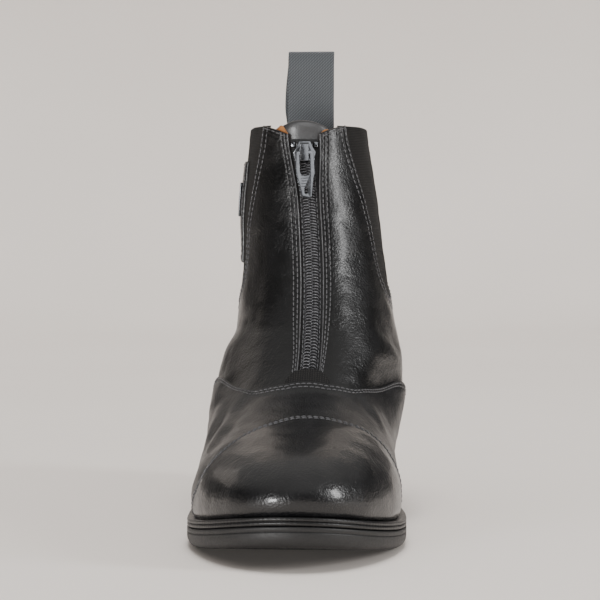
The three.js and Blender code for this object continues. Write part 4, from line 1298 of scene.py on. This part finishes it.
def makePullRibs(material):
    # Low ribs across the pull's neck, laid out on its own axes: the three directions in which its
    # corners spread most, less and least
    corners = np.array([v.co for v in nodes["zip_pull"].data.vertices]) / mm
    corners = corners - [last["shift"][0], last["shift"][1] - last["length"] / 2, 0]
    corners = np.unique(corners.round(3), axis=0)
    middle = (corners.max(0) + corners.min(0)) / 2
    long, wide, thin = np.linalg.svd(corners - corners.mean(0))[2]
    long, thin = long * np.sign(long[2]), thin * -np.sign(thin[1])
    face = ((corners - middle) @ thin).max()
    drop = np.linspace(pullRibs["from"], pullRibs["to"], pullRibs["count"])[:, None, None]
    t = np.linspace(-1, 1, 7)[None, :, None]
    paths = middle + long * drop + wide * t * pullRibs["half"] + thin * (face - 0.1)
    radii = pullRibs["radius"] * np.sqrt(1 - (thread["blunt"] * t[0, :, 0])**2)
    points, faces = sweep(paths, np.broadcast_to(thin, paths.shape), radii, 8)
    return finish(makeMesh("zip_pull_ribs", points, faces), "zip_pull", material, "dark_nickel")


tongueCut = {
    "half": 15.5,
    "from": 84.0,
    "rise": 2.0,
    "drop": 4.2,              # of its top corners below the middle
    "top": -3.4,
    "thick": 1.6,
    "roll": 1.3,              # extra padding inside its top edge
}


def makeTongue(material):
    # Padded tongue: its top edge is an arch that drops by a power 2.4 towards the corners, and a
    # quarter round of its thickness runs along the top and both sides
    u = np.concatenate([np.linspace(0, 0.93, 60), 1 - 0.07 * np.linspace(1, 0, 14)[1:]**2])[:, None]
    v = np.sin(np.linspace(-1, 1, 49) * np.pi / 2)[None]
    top = last["collar"] + tongueCut["rise"] - tongueCut["drop"] * np.abs(v)**2.4
    z = mix(tongueCut["from"], top, u)
    fromTop, fromSide = top - z, (1 - np.abs(v)) * tongueCut["half"]
    edge = rounded(fromTop, 1.4) * rounded(fromSide + 0 * fromTop, 0.9)
    padded = tongueCut["roll"] * np.exp(-((fromTop - 3.2) / 2.6)**2)
    low = tongueCut["top"] - tongueCut["thick"]
    across = v * tongueCut["half"]
    outer, _ = frontFace(across, z, low + tongueCut["thick"] * edge + 0.25 * padded * edge)
    inner, _ = frontFace(across, z, low - padded * edge)
    piece = shell("tongue_leather", outer, inner)
    return finish(piece, "boot", material, "black_leather", "tongue")


facing = {
    "from": 150.0,
    "under": 0.6,             # of its top edge below the collar's
    "behindEdge": 0.8,
    "reach": 17.5,
    "stand": {-1: 3.6, 1: 1.6},
    "outer": -2.05,
    "inner": -2.75,
}


def makeFacing(side, tan):
    # Tan facing that shows between the collar's front and the tongue: its top follows the collar's
    # dip and stands up from it in a bell curve
    low = facing["from"]
    z = np.linspace(low, last["collar"] - facing["under"], 40)[:, None]
    share = np.linspace(0, 1, 16)[None]
    rise = facing["stand"][side] * np.exp(-((share - 0.35) / 0.3)**2)
    across = side * mix(throatHalf(z) + facing["behindEdge"], facing["reach"], share)
    fromMiddle = legRow(z)[4] + across - legRow(np.array(last["collar"]))[4]
    dip = last["collarDip"] * np.exp(-(fromMiddle / last["collarDipWidth"])**2)
    lip = last["collar"] - dip + rise - facing["under"]
    height = low + (lip - low) * (z - low) / (z[-1] - low)
    outer, _ = frontFace(across, height, facing["outer"])
    inner, _ = frontFace(across, height, facing["inner"])
    name = "facing_lateral" if side < 0 else "facing_medial"
    return finish(shell(name, outer, inner), "boot", tan, "tan_lining")


def makeGore(side, material):
    # Elastic panel: its width follows the opening plus a lap under the leather, its lower end is a
    # half circle, and its top edge is level with the collar
    name = "lateral" if side < 0 else "medial"
    lap = gores["overlap"] - 0.5
    radius = gores["waist"] / 2 + lap
    z = np.concatenate([goreRound - radius * np.cos(np.linspace(0.06, np.pi / 2, 30)),
                        np.linspace(goreRound, last["collar"] - 0.5, 60)[1:]])[:, None]
    below = np.sqrt(np.maximum(radius**2 - np.minimum(z - goreRound, 0)**2, 0))
    half = np.where(z < goreRound, below, goreHalf(z) + lap)
    station = goreStation + half * np.linspace(-1, 1, 61)[None]
    fromTop = last["collar"] - 0.5 - z + 0 * station
    up = np.clip((z - gores["bottom"]) / (last["collar"] - gores["bottom"]), 0, 1)
    rise = np.sin(np.pi * up**0.5 / 1.25)
    v = (station - goreStation) / half
    low = gores["depth"] - gores["thickness"] + gores["swell"][side] * rise * (1 - np.abs(v)**2.5)
    outer, _ = sideFace(side, station, z, low + gores["thickness"] * rounded(fromTop, 0.7))
    inner, _ = sideFace(side, station, z, low)
    uv = np.stack(np.broadcast_arrays(station, z), -1)
    piece = shell("elastic_" + name, outer, inner, uv=uv)
    return finish(piece, "boot", material, "elastic", "gore_" + name)


badge = {
    "half": 11.0,
    "from": 130.0,
    "height": 54.0,
    "low": -0.9,
    "thick": 1.6,
    "rim": 1.0,
    "seam": 1.9,              # of its stitches from the edge
    "sunk": 0.15,             # of the threads in the leather
}


def makeBadge(leather, threads):
    # Leather tab on the lateral gore: a rounded rectangle with a quarter round edge
    steps = np.concatenate([badge["rim"] * (1 - np.cos(np.linspace(0, np.pi / 2, 6))), [1.9, 2.6]])
    length, width = badge["height"], 2 * badge["half"]
    z = np.concatenate([steps, np.linspace(4, length - 4, 30), length - steps[::-1]])[:, None]
    s = np.concatenate([steps, np.linspace(4, width - 4, 14), width - steps[::-1]])[None]
    toZ, toS = np.minimum(z, length - z), np.minimum(s, width - s)
    dip = -0.22 * np.exp(-((np.minimum(toZ, toS) - badge["seam"]) / 0.5)**2)
    high = (badge["thick"] + dip) * rounded(toZ, badge["rim"]) * rounded(toS, badge["rim"])
    station = goreStation - badge["half"] + s
    outer, _ = sideFace(-1, station, badge["from"] + z, badge["low"] + high)
    inner, _ = sideFace(-1, station, badge["from"] + z, badge["low"])
    finish(shell("badge_leather", outer, inner), "boot", leather, "black_leather", "badge_patch")
    inset = badge["seam"]
    far, top = width - inset, length - inset
    corners = [(inset, inset), (far, inset), (far, top), (inset, top)]
    rows = []
    t = np.linspace(0, 1, 60)
    for (s0, z0), (s1, z1) in zip(corners, corners[1:] + corners[:1]):
        across = goreStation - badge["half"] + mix(s0, s1, t)
        rows.append(sideFace(-1, across, badge["from"] + mix(z0, z1, t),
                             badge["low"] + badge["thick"] - badge["sunk"]))
    return stitchRows("badge_stitches", rows, threads)


strap = {
    "width": 26.0,
    "middle": -1.0,
    "rise": 45.0,
    "seat": 19.0,
    "open": 12.0,
    "thick": 1.6,
    "edge": 0.8,
    "askew": -2.3,            # of its rear leg to the side, above the collar
    "seamAt": 0.86,           # share of the half width where the box of stitches runs
    "seamTop": 2.5,           # of the box below the collar
}
strapBow = [(0.50, 0.35), (0.50, 0.70), (0.32, 0.93), (0.0, 1.0),      # shares of open and rise
            (-0.32, 0.93), (-0.50, 0.70), (-0.50, 0.35)]


def strapPath(count):
    # Middle line of the webbing from the side, as stations and heights: up the back of the collar,
    # over in a bow and down inside, with a cubic spline through listed points
    half = strap["thick"] / 2
    gap = 2 * last["clearance"]

    def backStation(z):
        return backFace(np.array(strap["middle"]), np.minimum(z, last["collar"]))[0][..., 1]

    outer, inner = gap + half, -2 - gap - half
    rim = float(backStation(np.array(last["collar"])))
    middle = rim + (outer + inner) / 2
    drops = np.array([strap["seat"], strap["seat"] / 2, 0])
    legZ = last["collar"] - drops
    legs = backStation(legZ)
    bow = [(middle + a * strap["open"], last["collar"] + b * strap["rise"]) for a, b in strapBow]
    points = np.array(list(zip(legs + outer, legZ)) + bow + list(zip(legs[::-1] + inner, legZ[::-1])))
    gone = lengthAlong(points)
    table = np.column_stack([gone, points])
    places = np.linspace(0, gone[-1], count)
    return np.stack([spline(table, 1)(places), spline(table, 2)(places)], -1), places


def makeStrap(material, threads):
    # The webbing carried along its path: half an ellipse rounds both selvedges, the seats follow
    # the back of the collar across its width, and the bow runs flat
    path, gone = strapPath(170)
    tangent = unit(np.gradient(path, axis=0))
    rim = 0.06 * (1 - np.cos(np.linspace(0, np.pi / 2, 6)))
    v = np.concatenate([-1 + rim, np.linspace(-0.9, 0.9, 25), 1 - rim[::-1]])
    x = strap["middle"] + v * strap["width"] / 2
    level = np.minimum(path[:, 1], last["collar"])
    bend = backFace(x[None], level[:, None])[0][..., 1]
    straight = backFace(np.array([[strap["middle"]]]), level[:, None])[0][..., 1]
    flat = smooth(path[:, 1], last["collar"], last["collar"] + strap["rise"] / 2)[:, None]
    shift = (bend - straight) * (1 - flat)
    fromEdge = (1 - np.abs(v)) * strap["width"] / 2
    half = strap["thick"] / 2 * (0.45 + 0.55 * rounded(fromEdge, strap["edge"]))[None]
    standing = smooth(path[:, 1], last["collar"] - 4, last["collar"] + 16)
    rear = 1 - smooth(gone, 0.28 * gone[-1], 0.52 * gone[-1])
    aside = strap["askew"] * (standing * rear)[:, None]
    faces = []
    for sign in (1, -1):
        station = path[:, :1] + shift + sign * half * tangent[:, 1:]
        z = path[:, 1:] - sign * half * tangent[:, :1] + 0 * station
        faces.append(np.stack([x[None] + aside + 0 * station, station, z], -1))
    uv = np.stack(np.broadcast_arrays(x[None], gone[:, None]), -1)
    piece = shell("pull_loop_webbing", faces[0], faces[1], uv=uv)
    finish(piece, "boot", material, "webbing", "pull_loop")
    rows = []
    outer = faces[0]
    left, right = (np.argmin(np.abs(v - sign * strap["seamAt"])) for sign in (-1, 1))
    top = np.argmin(np.abs(path[:len(path) // 2, 1] - last["collar"] + strap["seamTop"]))
    normal = np.array([0.0, 1.0, 0.0])
    across = slice(left, right + 1)
    for line in (outer[2:top, left], outer[2:top, right], outer[3, across], outer[top, across],
                 outer[(3 + top) // 2, across]):
        rows.append((line, np.broadcast_to(normal, line.shape)))
    return stitchRows("loop_stitches", rows, threads)


moon = {"half": 11.0, "height": 5.6, "low": 0.08, "thick": 0.8, "under": 4.0}


def makeMoon(material):
    # Half moon under the zip's end: stations go back from the vamp's edge by the root of a circle
    v = np.sin(np.linspace(-1, 1, 41) * np.pi / 2)[None]
    u = np.linspace(0, 1, 22)[:, None]
    seam = vampTable[0, 0] * last["length"]
    arc = moon["height"] * np.sqrt(1 - np.minimum(v**2, 1)) + 0.35
    station = mix(seam - moon["under"], seam + arc, np.sin(u * np.pi / 2))
    x = legRow(np.array(throat["bottom"]))[4] + moon["half"] * v + 0 * station
    edge = rounded(seam + arc - station, 0.5)
    outer, _ = castAlong((0, 0, 1), x, station, 50.0, moon["low"] + moon["thick"] * edge)
    inner, _ = castAlong((0, 0, 1), x, station, 50.0, moon["low"])
    uv = np.stack([x, station], -1)
    piece = shell("zip_end_moon", outer, inner, uv=uv)
    return finish(piece, "boot", material, "elastic", "zip_end_patch")


sole = {
    "welt": 6.0,
    "seatWelt": 5.0,
    "weltHeight": 4.0,
    "weltInset": 14.0,
    "edge": 4.0,
    "groove": 0.6,
    "sideGroove": 0.35,
    "heelTaper": 2.4,
    "topLift": 6.0,
    "chamfer": 0.8,
    "breast": 0.72,
    "breastLean": 3.0,
    "wall": 2.0,
    "treadDepth": 0.8,
    "treadPitch": 7.0,
    "treadBend": 2.2,
    "treadWave": 4.2,
}


def ringAround(turn, inset, height):
    # The feather line let out level by the welt's width less an inset, at a height of its own
    points = readGrid(skinPoints, turn, 0 * turn)
    normals = readGrid(skinNormals, turn, 0 * turn) * [1, 1, 0]
    rear = smooth(points[..., 1] / last["length"], 0.4, 0.7)
    out = mix(sole["welt"], sole["seatWelt"], rear) - inset
    moved = points + unit(normals) * out[..., None]
    moved[..., 2] = height(moved[..., 1]) if callable(height) else height
    return moved


def stacked(name, rings, capStart, capEnd, lower=None):
    # Rings that close on themselves, and caps whose rings draw in to the middle between facing
    # points j and n - j; lower() may shape the first cap
    n = rings[0].shape[0]
    facing = (-np.arange(n)) % n

    def capRings(ring, count):
        middle = (ring + ring[facing]) / 2
        return [mix(ring, middle, t) for t in np.linspace(0, 1, count + 1)[1:]]

    start = capRings(rings[0], capStart)
    if lower is not None:
        start = [lower(ring) for ring in start]
    rows = start[::-1] + list(rings) + capRings(rings[-1], capEnd)
    points = np.concatenate(rows)
    faces = gridFaces(len(rows), n, wrapColumns=True)
    line = np.array([row[n // 4] for row in rows])
    ring = np.array(rings[0])
    u = np.concatenate([lengthAlong(ring)])[None] + np.zeros((len(rows), 1))
    v = lengthAlong(line)[:, None] + np.zeros((1, n))
    piece = makeMesh(name, points, faces, np.stack([u, v], -1).reshape(-1, 2))
    work = bmesh.new()
    work.from_mesh(piece.data)
    bmesh.ops.remove_doubles(work, verts=work.verts, dist=0.01 * mm)
    bmesh.ops.recalc_face_normals(work, faces=work.faces)
    work.to_mesh(piece.data)
    work.free()
    return piece


fullTurn = np.arange(last["around"]) / last["around"]


def makeWelt(material):
    # Profile carried around the boot: two beads with a groove between them, then a flat top
    angles = np.linspace(-np.pi / 2, np.pi / 2, 8)
    profile = [(0.9, 0.0)]
    for middle in (1.05, 2.95):
        profile += [(0.75 - 0.75 * math.cos(a), middle + 0.9 * math.sin(a)) for a in angles]
    profile += [(0.9, 4.0), (3.2, 4.0), (5.8, 4.0), (sole["weltInset"], 4.0), (sole["weltInset"], 0.0)]
    rings = []
    for inset, rise in profile:
        rings.append(ringAround(fullTurn, inset, lambda s, r=rise: feather(s) - sole["weltHeight"] + r))
    points = np.concatenate(rings)
    faces = gridFaces(len(rings), last["around"], wrapRows=True, wrapColumns=True)
    u = lengthAlong(rings[3])[None] + np.zeros((len(rings), 1))
    v = lengthAlong(np.array([ring[0] for ring in rings]))[:, None] + np.zeros((1, last["around"]))
    piece = makeMesh("welt_beads", points, faces[:, ::-1], np.stack([u, v], -1).reshape(-1, 2))
    return finish(piece, "boot", material, "welt_rubber", "welt")


def treadGroove(points):
    # depth of the grooves: where a sine of the station, shifted by a sine across, is near its top
    bend = sole["treadBend"] * np.sin(points[..., 0] / sole["treadWave"])
    wave = np.sin(2 * np.pi * (points[..., 1] + bend) / sole["treadPitch"])
    return sole["treadDepth"] * smooth(wave, 0.45, 0.75)


def treadPattern(points):
    # Fine tread on the forepart alone: grooves that run across the sole in waves
    share = points[..., 1] / last["length"]
    flat = smooth(share, 0.06, 0.1) * (1 - smooth(share, 0.4, 0.44))
    raised = points.copy()
    raised[..., 2] = points[..., 2] + treadGroove(points) * flat
    return raised


sideLines = [                 # share of the side's height, and of the groove's depth
    (0.3, 0), (0.42, 0), (0.45, 1), (0.5, 1), (0.53, 0), (0.8, 0), (0.94, 0.1), (1, 1),
]


def makeOutsole(material):
    # Quarter round lower edge, upright side with a fine line, and the top under the welt
    top = lambda s: feather(s) - sole["weltHeight"] - last["clearance"]
    e = sole["edge"]
    high = e * 1.1
    rings = []
    for a in np.linspace(0, np.pi / 2, 9):
        rings.append(ringAround(fullTurn, e * (1 - math.sin(a)),
                                lambda s, a=a: tread(s) + high * (1 - math.cos(a))))
    low = lambda s: tread(s) + high
    for share, inset in sideLines:
        rings.append(ringAround(fullTurn, inset * sole["sideGroove"],
                                lambda s, k=share: mix(low(s), np.maximum(top(s), low(s)), k)))
    rings.append(ringAround(fullTurn, sole["weltInset"] + last["clearance"], top))
    rings.append(ringAround(fullTurn, sole["weltInset"] + last["clearance"], feather))
    piece = stacked("outsole_rubber", rings, 60, 1, treadPattern)
    return finish(piece, "boot", material, "sole_rubber", "outsole")


def heelRing(inset, z):
    # Closed ring of the heel at one height: the outline behind the breast, then the breast itself
    breast = sole["breast"] * last["length"] + sole["breastLean"] * (1 - z / last["heel"])
    halves = []
    for side in (1, -1):
        turn = side * np.linspace(0.25, 0.5, 500)
        line = ringAround(turn, inset, z)
        corner = np.interp(breast, line[:, 1], turn * side) * side
        around = ringAround(mix(corner, side * 0.5, np.linspace(0, 1, 120)), inset, z)
        halves.append(around)
    across = np.linspace(0, 1, 25)[:-1, None]
    middle = (halves[0][0] + halves[1][0]) / 2
    medial = np.concatenate([mix(middle, halves[0][0], across), halves[0]])
    lateral = np.concatenate([mix(middle, halves[1][0], across), halves[1]])
    return np.concatenate([medial, lateral[1:-1][::-1]])


def makeHeel(material):
    # Stacked heel with a top lift: tapered sides, a groove above the lift and a bevelled base
    side = lambda z: sole["heelTaper"] * (1 - z / last["heel"]) + last["clearance"]
    lift, groove, c = sole["topLift"], sole["groove"], sole["chamfer"]
    edge = side(lift)
    levels = [(side(0) + c, 0), (side(0) + 0.3 * c, 0.3 * c), (side(c), c), (edge, lift - groove),
              (edge + groove, lift - 0.15), (edge + groove, lift + 0.15), (edge, lift + groove)]
    levels += [(side(z), z) for z in np.linspace(lift + 2, last["heel"] - last["clearance"], 8)]
    rings = [heelRing(inset, z) for inset, z in levels]

    def heelTread(ring):
        shaped = ring.copy()
        reachIn = np.abs(ring[:, 0] - rings[0][:, 0]) + np.abs(ring[:, 1] - rings[0][:, 1])
        shaped[:, 2] += treadGroove(ring) * smooth(reachIn, 4, 7)
        return shaped

    piece = stacked("heel_block", rings, 40, 1, heelTread)
    return finish(piece, "boot", material, "sole_rubber", "heel")


def makeInsole(material):
    # Footbed: its rim rises a little and its edge is rounded
    base = lambda rise: (lambda s: feather(s) + last["clearance"] + rise)
    points = readGrid(skinPoints, fullTurn, 0 * fullTurn)
    normals = unit(readGrid(skinNormals, fullTurn, 0 * fullTurn) * [1, 1, 0])
    rings = []
    for more, rise in ((0.0, 0.0), (0.0, 1.6), (0.3, 2.3), (1.0, 2.6)):
        ring = points - normals * (sole["wall"] + last["clearance"] + more)
        ring[:, 2] = base(rise)(ring[:, 1])
        rings.append(ring)
    piece = stacked("footbed", rings, 1, 24)
    return finish(piece, "boot", material, "tan_lining", "insole")


makeToeCap(materials["cap"])
makeVamp(materials["vamp"])
quarters = {side: makeQuarter(side, materials["quarter"], materials["tan"]) for side in (-1, 1)}
print("leather panels made")


def sewSeams(threads):
    # Stitches of the cap, the vamp, the zip's and the gores' edges, the collar and the back seam:
    # each row keeps its distance from an edge of its panel
    toeEdge = (capLine[0], np.zeros_like(capLine[1]))
    length, place = ruler(toeEdge, capLine)
    rows = [seamRow(place, np.maximum(length - d, 0), seamHeights["cap"], slice(3, -3))
            for d in panels["stitchRows"]]
    stitchRows("toe_cap_stitches", rows, threads)
    feet = (vampLine[0], np.zeros_like(vampLine[1]))
    length, place = ruler(feet, vampLine)
    rows = [seamRow(place, np.maximum(length - d, 0), seamHeights["vamp"], slice(10, -10))
            for d in panels["stitchRows"]]
    stitchRows("vamp_stitches", rows, threads)
    for side, (turn, share, fromGore, fromFront, fromCollar, (length, place)) in quarters.items():
        name = "lateral" if side < 0 else "medial"
        columns = len(fromCollar)
        height = seamHeights["quarter"]
        rows = []
        for d in panels["goreRows"]:
            rows.append(seamRow(place, np.full(columns, d), height, slice(3, -3)))
        zipPart = slice(3, int(columns * 0.34))
        for d in panels["stitchRows"]:
            rows.append(seamRow(place, np.maximum(length - d, 0), height, zipPart))
        seamPart = slice(int(columns * 0.72), -3)
        rows.append(seamRow(place, np.maximum(length - 2.2, 0), height, seamPart))
        below = np.argmin(np.abs(fromCollar[:60] - panels["stitchRows"][0]))
        for column in (below, columns - 1 - below):
            inside = (fromGore[:, column] > 1.5) & (fromFront[:, column] > 1.5)
            rows.append(skin(turn[inside, column], share[inside, column], height + 0.1))
        rows = [(line[line[:, 2] > 40], normals[line[:, 2] > 40]) for line, normals in rows]
        stitchRows("quarter_stitches_" + name, rows, threads)


bead = {"from": 0.25, "height": -0.5, "radius": 0.42, "sides": 8}


def paintEdges(material):
    # Edge paint as a round bead along the cut edges beside the zip and around the gore
    for side, (_, _, _, _, fromCollar, (length, place)) in quarters.items():
        columns = len(fromCollar)
        edges = [(np.maximum(length - bead["from"], 0), slice(3, int(columns * 0.34))),
                 (np.full(columns, bead["from"]), slice(3, -3))]
        points, faces, count = [], [], 0
        for fromA, keep in edges:
            line, normals = seamRow(place, fromA, bead["height"], keep)
            some, quads = sweep(line[None], normals[None], bead["radius"], bead["sides"])
            points.append(some)
            faces += [block + count for block in quads]
            count += len(some)
        name = "edge_paint_lateral" if side < 0 else "edge_paint_medial"
        finish(makeMesh(name, np.concatenate(points), faces), "boot", material, "black_leather")


paintEdges(materials["edge"])
sewSeams(materials["thread"])
print("seams sewn")
makeTape(materials["tape"])
makeCoil(materials["wire"], materials["zipThread"])
softened("zip_slider_cast", "zip_slider", "boot", 0.35, materials["nickel"], "dark_nickel")
softened("zip_pull_cast", "zip_pull", "zip_pull", 0.3, materials["nickel"], "dark_nickel")
makePullRibs(materials["nickel"])
softened("stop_lateral_cast", "zip_stop_lateral", "boot", 0.5, materials["nickel"], "dark_nickel")
softened("stop_medial_cast", "zip_stop_medial", "boot", 0.5, materials["nickel"], "dark_nickel")
softened("badge_bar_cast", "badge_bar", "boot", 0.4, materials["nickel"], "dark_nickel")
makeTongue(materials["tongue"])
for side in (-1, 1):
    makeFacing(side, materials["tan"])
for side in (-1, 1):
    makeGore(side, materials["elastic"])
makeMoon(materials["elastic"])
makeBadge(materials["quarter"], materials["thread"])
makeStrap(materials["webbing"], materials["thread"])
print("zip, tongue, gores and loop made")
makeWelt(materials["welt"])
makeOutsole(materials["rubber"])
makeHeel(materials["rubber"])
makeInsole(materials["tan"])
print("sole made")


# Camera at the photograph's viewing angle: level with the shin, 0.95 m in front, long lens
view = {
    "place": (0.0505, -0.9527, 0.156),
    "target": (-0.0015, 0.0, 0.1125),
    "lens": 113.6,
    "sensor": 36.0,
}
camera = bpy.data.objects.new("Camera", bpy.data.cameras.new("Camera"))
bpy.context.scene.collection.objects.link(camera)
camera.data.lens = view["lens"]
camera.data.sensor_width = view["sensor"]
camera.location = view["place"]
aim = Vector(view["target"]) - Vector(view["place"])
camera.rotation_euler = aim.to_track_quat("-Z", "Y").to_euler()
camera.data.clip_start, camera.data.clip_end = 0.01, 50
bpy.context.scene.camera = camera


studio = {
    "frontLit": ("zip_", "stop_", "tongue", "pull_loop", "loop_stitches", "edge_paint"),
    "floor": "#dbd3cc",
    "floorOther": "#dfd7d0",
    "world": "#d7d5d2",
    "beyond": "#c9c5c1",
    "ceiling": 2.65,
    "tilts": (0, 28),         # of the light on the floor and on the wall, in degrees
    "spreads": (30, 60),
    "domeFrom": 0.35,
    "domeTo": 0.8,
    "domeStrength": 1.0,
    "backStrength": 0.05,
    "darkStrength": 0.05,
    "wallLeft": -1.15,        # the wall ends just outside the view, so both sides stay dark
    "wallRight": 0.95,
}


def makeSweep():
    # A wide floor, and behind it a paper sweep: a quarter circle bend up to a wall
    colour = paperSweep("background paper", studio["floor"], studio["floorOther"])
    angles = np.linspace(0, np.pi / 2, 24)
    bend = [(1.6 + 0.9 * math.sin(a), 0.9 - 0.9 * math.cos(a)) for a in angles]
    parts = {
        "floor": ((-9.0, 9.0), [(-9.0, 0.0), (9.0, 0.0)]),
        "paper_wall": ((studio["wallLeft"], studio["wallRight"]), bend + [(2.5, 3.0)]),
    }
    made = []
    for name, (sides, profile) in parts.items():
        line = np.array(profile)
        points = [[x, y, z] for x in sides for y, z in line]
        points = np.array(points) / mm - [last["shift"][0], last["shift"][1] - last["length"] / 2, 0]
        piece = makeMesh(name, points, gridFaces(2, len(line)))
        piece.data.materials.append(colour)
        made.append(piece)
    return made


def addLight(name, place, target, size, power, colour="#ffffff"):
    # a rectangular softbox of a size in metres and a power in watts, turned to face its target
    data = bpy.data.lights.new(name, "AREA")
    data.shape = "RECTANGLE"
    data.size, data.size_y = size
    data.energy = power
    data.color = linear(colour)[:3]
    light = bpy.data.objects.new(name, data)
    bpy.context.scene.collection.objects.link(light)
    light.location = place
    light.rotation_euler = (Vector(target) - Vector(place)).to_track_quat("-Z", "Y").to_euler()
    return light


def lightOnly(light, pieces):
    # The light reaches these pieces and no others
    lit = bpy.data.collections.new(light.name)
    for piece in pieces:
        lit.objects.link(piece)
    light.light_linking.receiver_collection = lit


paper = makeSweep()
addLight("softbox right", (1.44, -0.42, 0.60), (0, 0, 0.1), (0.32, 0.6), 15.5)
addLight("small left", (-0.76, -1.35, 0.12), (0, 0, 0.05), (0.36, 0.22), 17)
frontCard = addLight("wide front", (0.25, -1.9, 1.15), (0, 0, 0.1), (1.9, 1.2), 26)
lightOnly(frontCard, [piece for piece in bpy.data.objects if piece.name.startswith(studio["frontLit"])])
addLight("fill left", (-1.3, 1.0, 0.82), (0, 0, 0.1), (0.9, 0.6), 1.6, "#fff4ea")


def lightPaper(pieces):
    # Even light for the paper alone: on the floor from right above, so that the shadow lies under the
    # toe, and on the wall from in front. The level parts get the same of both.
    for piece, tilt, spread in zip(pieces, studio["tilts"], studio["spreads"]):
        data = bpy.data.lights.new("ceiling over " + piece.name, "SUN")
        data.energy = studio["ceiling"] / math.cos(math.radians(tilt))
        data.angle = math.radians(spread)
        light = bpy.data.objects.new(data.name, data)
        bpy.context.scene.collection.objects.link(light)
        light.rotation_euler = (math.radians(tilt), 0, 0)
        lightOnly(light, [piece])


lightPaper(paper)


def makeWorld():
    # Studio dome by direction: bright overhead, a lit wall behind, dark in front and at the sides.
    # Past the paper's edge the camera sees one even tone.
    world = bpy.data.worlds.new("studio")
    bpy.context.scene.world = world
    world.use_nodes = True
    tree = world.node_tree
    tree.nodes.clear()
    direction = addNode(world, "ShaderNodeTexCoord")
    parts = addNode(world, "ShaderNodeSeparateXYZ", [("Vector", direction, "Generated")])
    above = ramp(world, parts, [(studio["domeFrom"], 0.0), (studio["domeTo"], 1.0)], "Z")
    behind = ramp(world, parts, [(0.1, 0.0), (0.7, 1.0)], "Y")
    top = relate(world, "MULTIPLY", above, studio["domeStrength"])
    back = relate(world, "MULTIPLY", behind, studio["backStrength"])
    total = relate(world, "ADD", relate(world, "ADD", top, back), studio["darkStrength"])
    dome = addNode(world, "ShaderNodeBackground", [("Strength", total, 0)],
                   in_Color=linear(studio["world"]))
    tone = addNode(world, "ShaderNodeBackground", in_Color=linear(studio["beyond"]), in_Strength=1.0)
    seen = addNode(world, "ShaderNodeLightPath")
    both = addNode(world, "ShaderNodeMixShader",
                   [(0, seen, "Is Camera Ray"), (1, dome, 0), (2, tone, 0)])
    addNode(world, "ShaderNodeOutputWorld", [("Surface", both, 0)])


makeWorld()
print("camera, lights and sweep made")
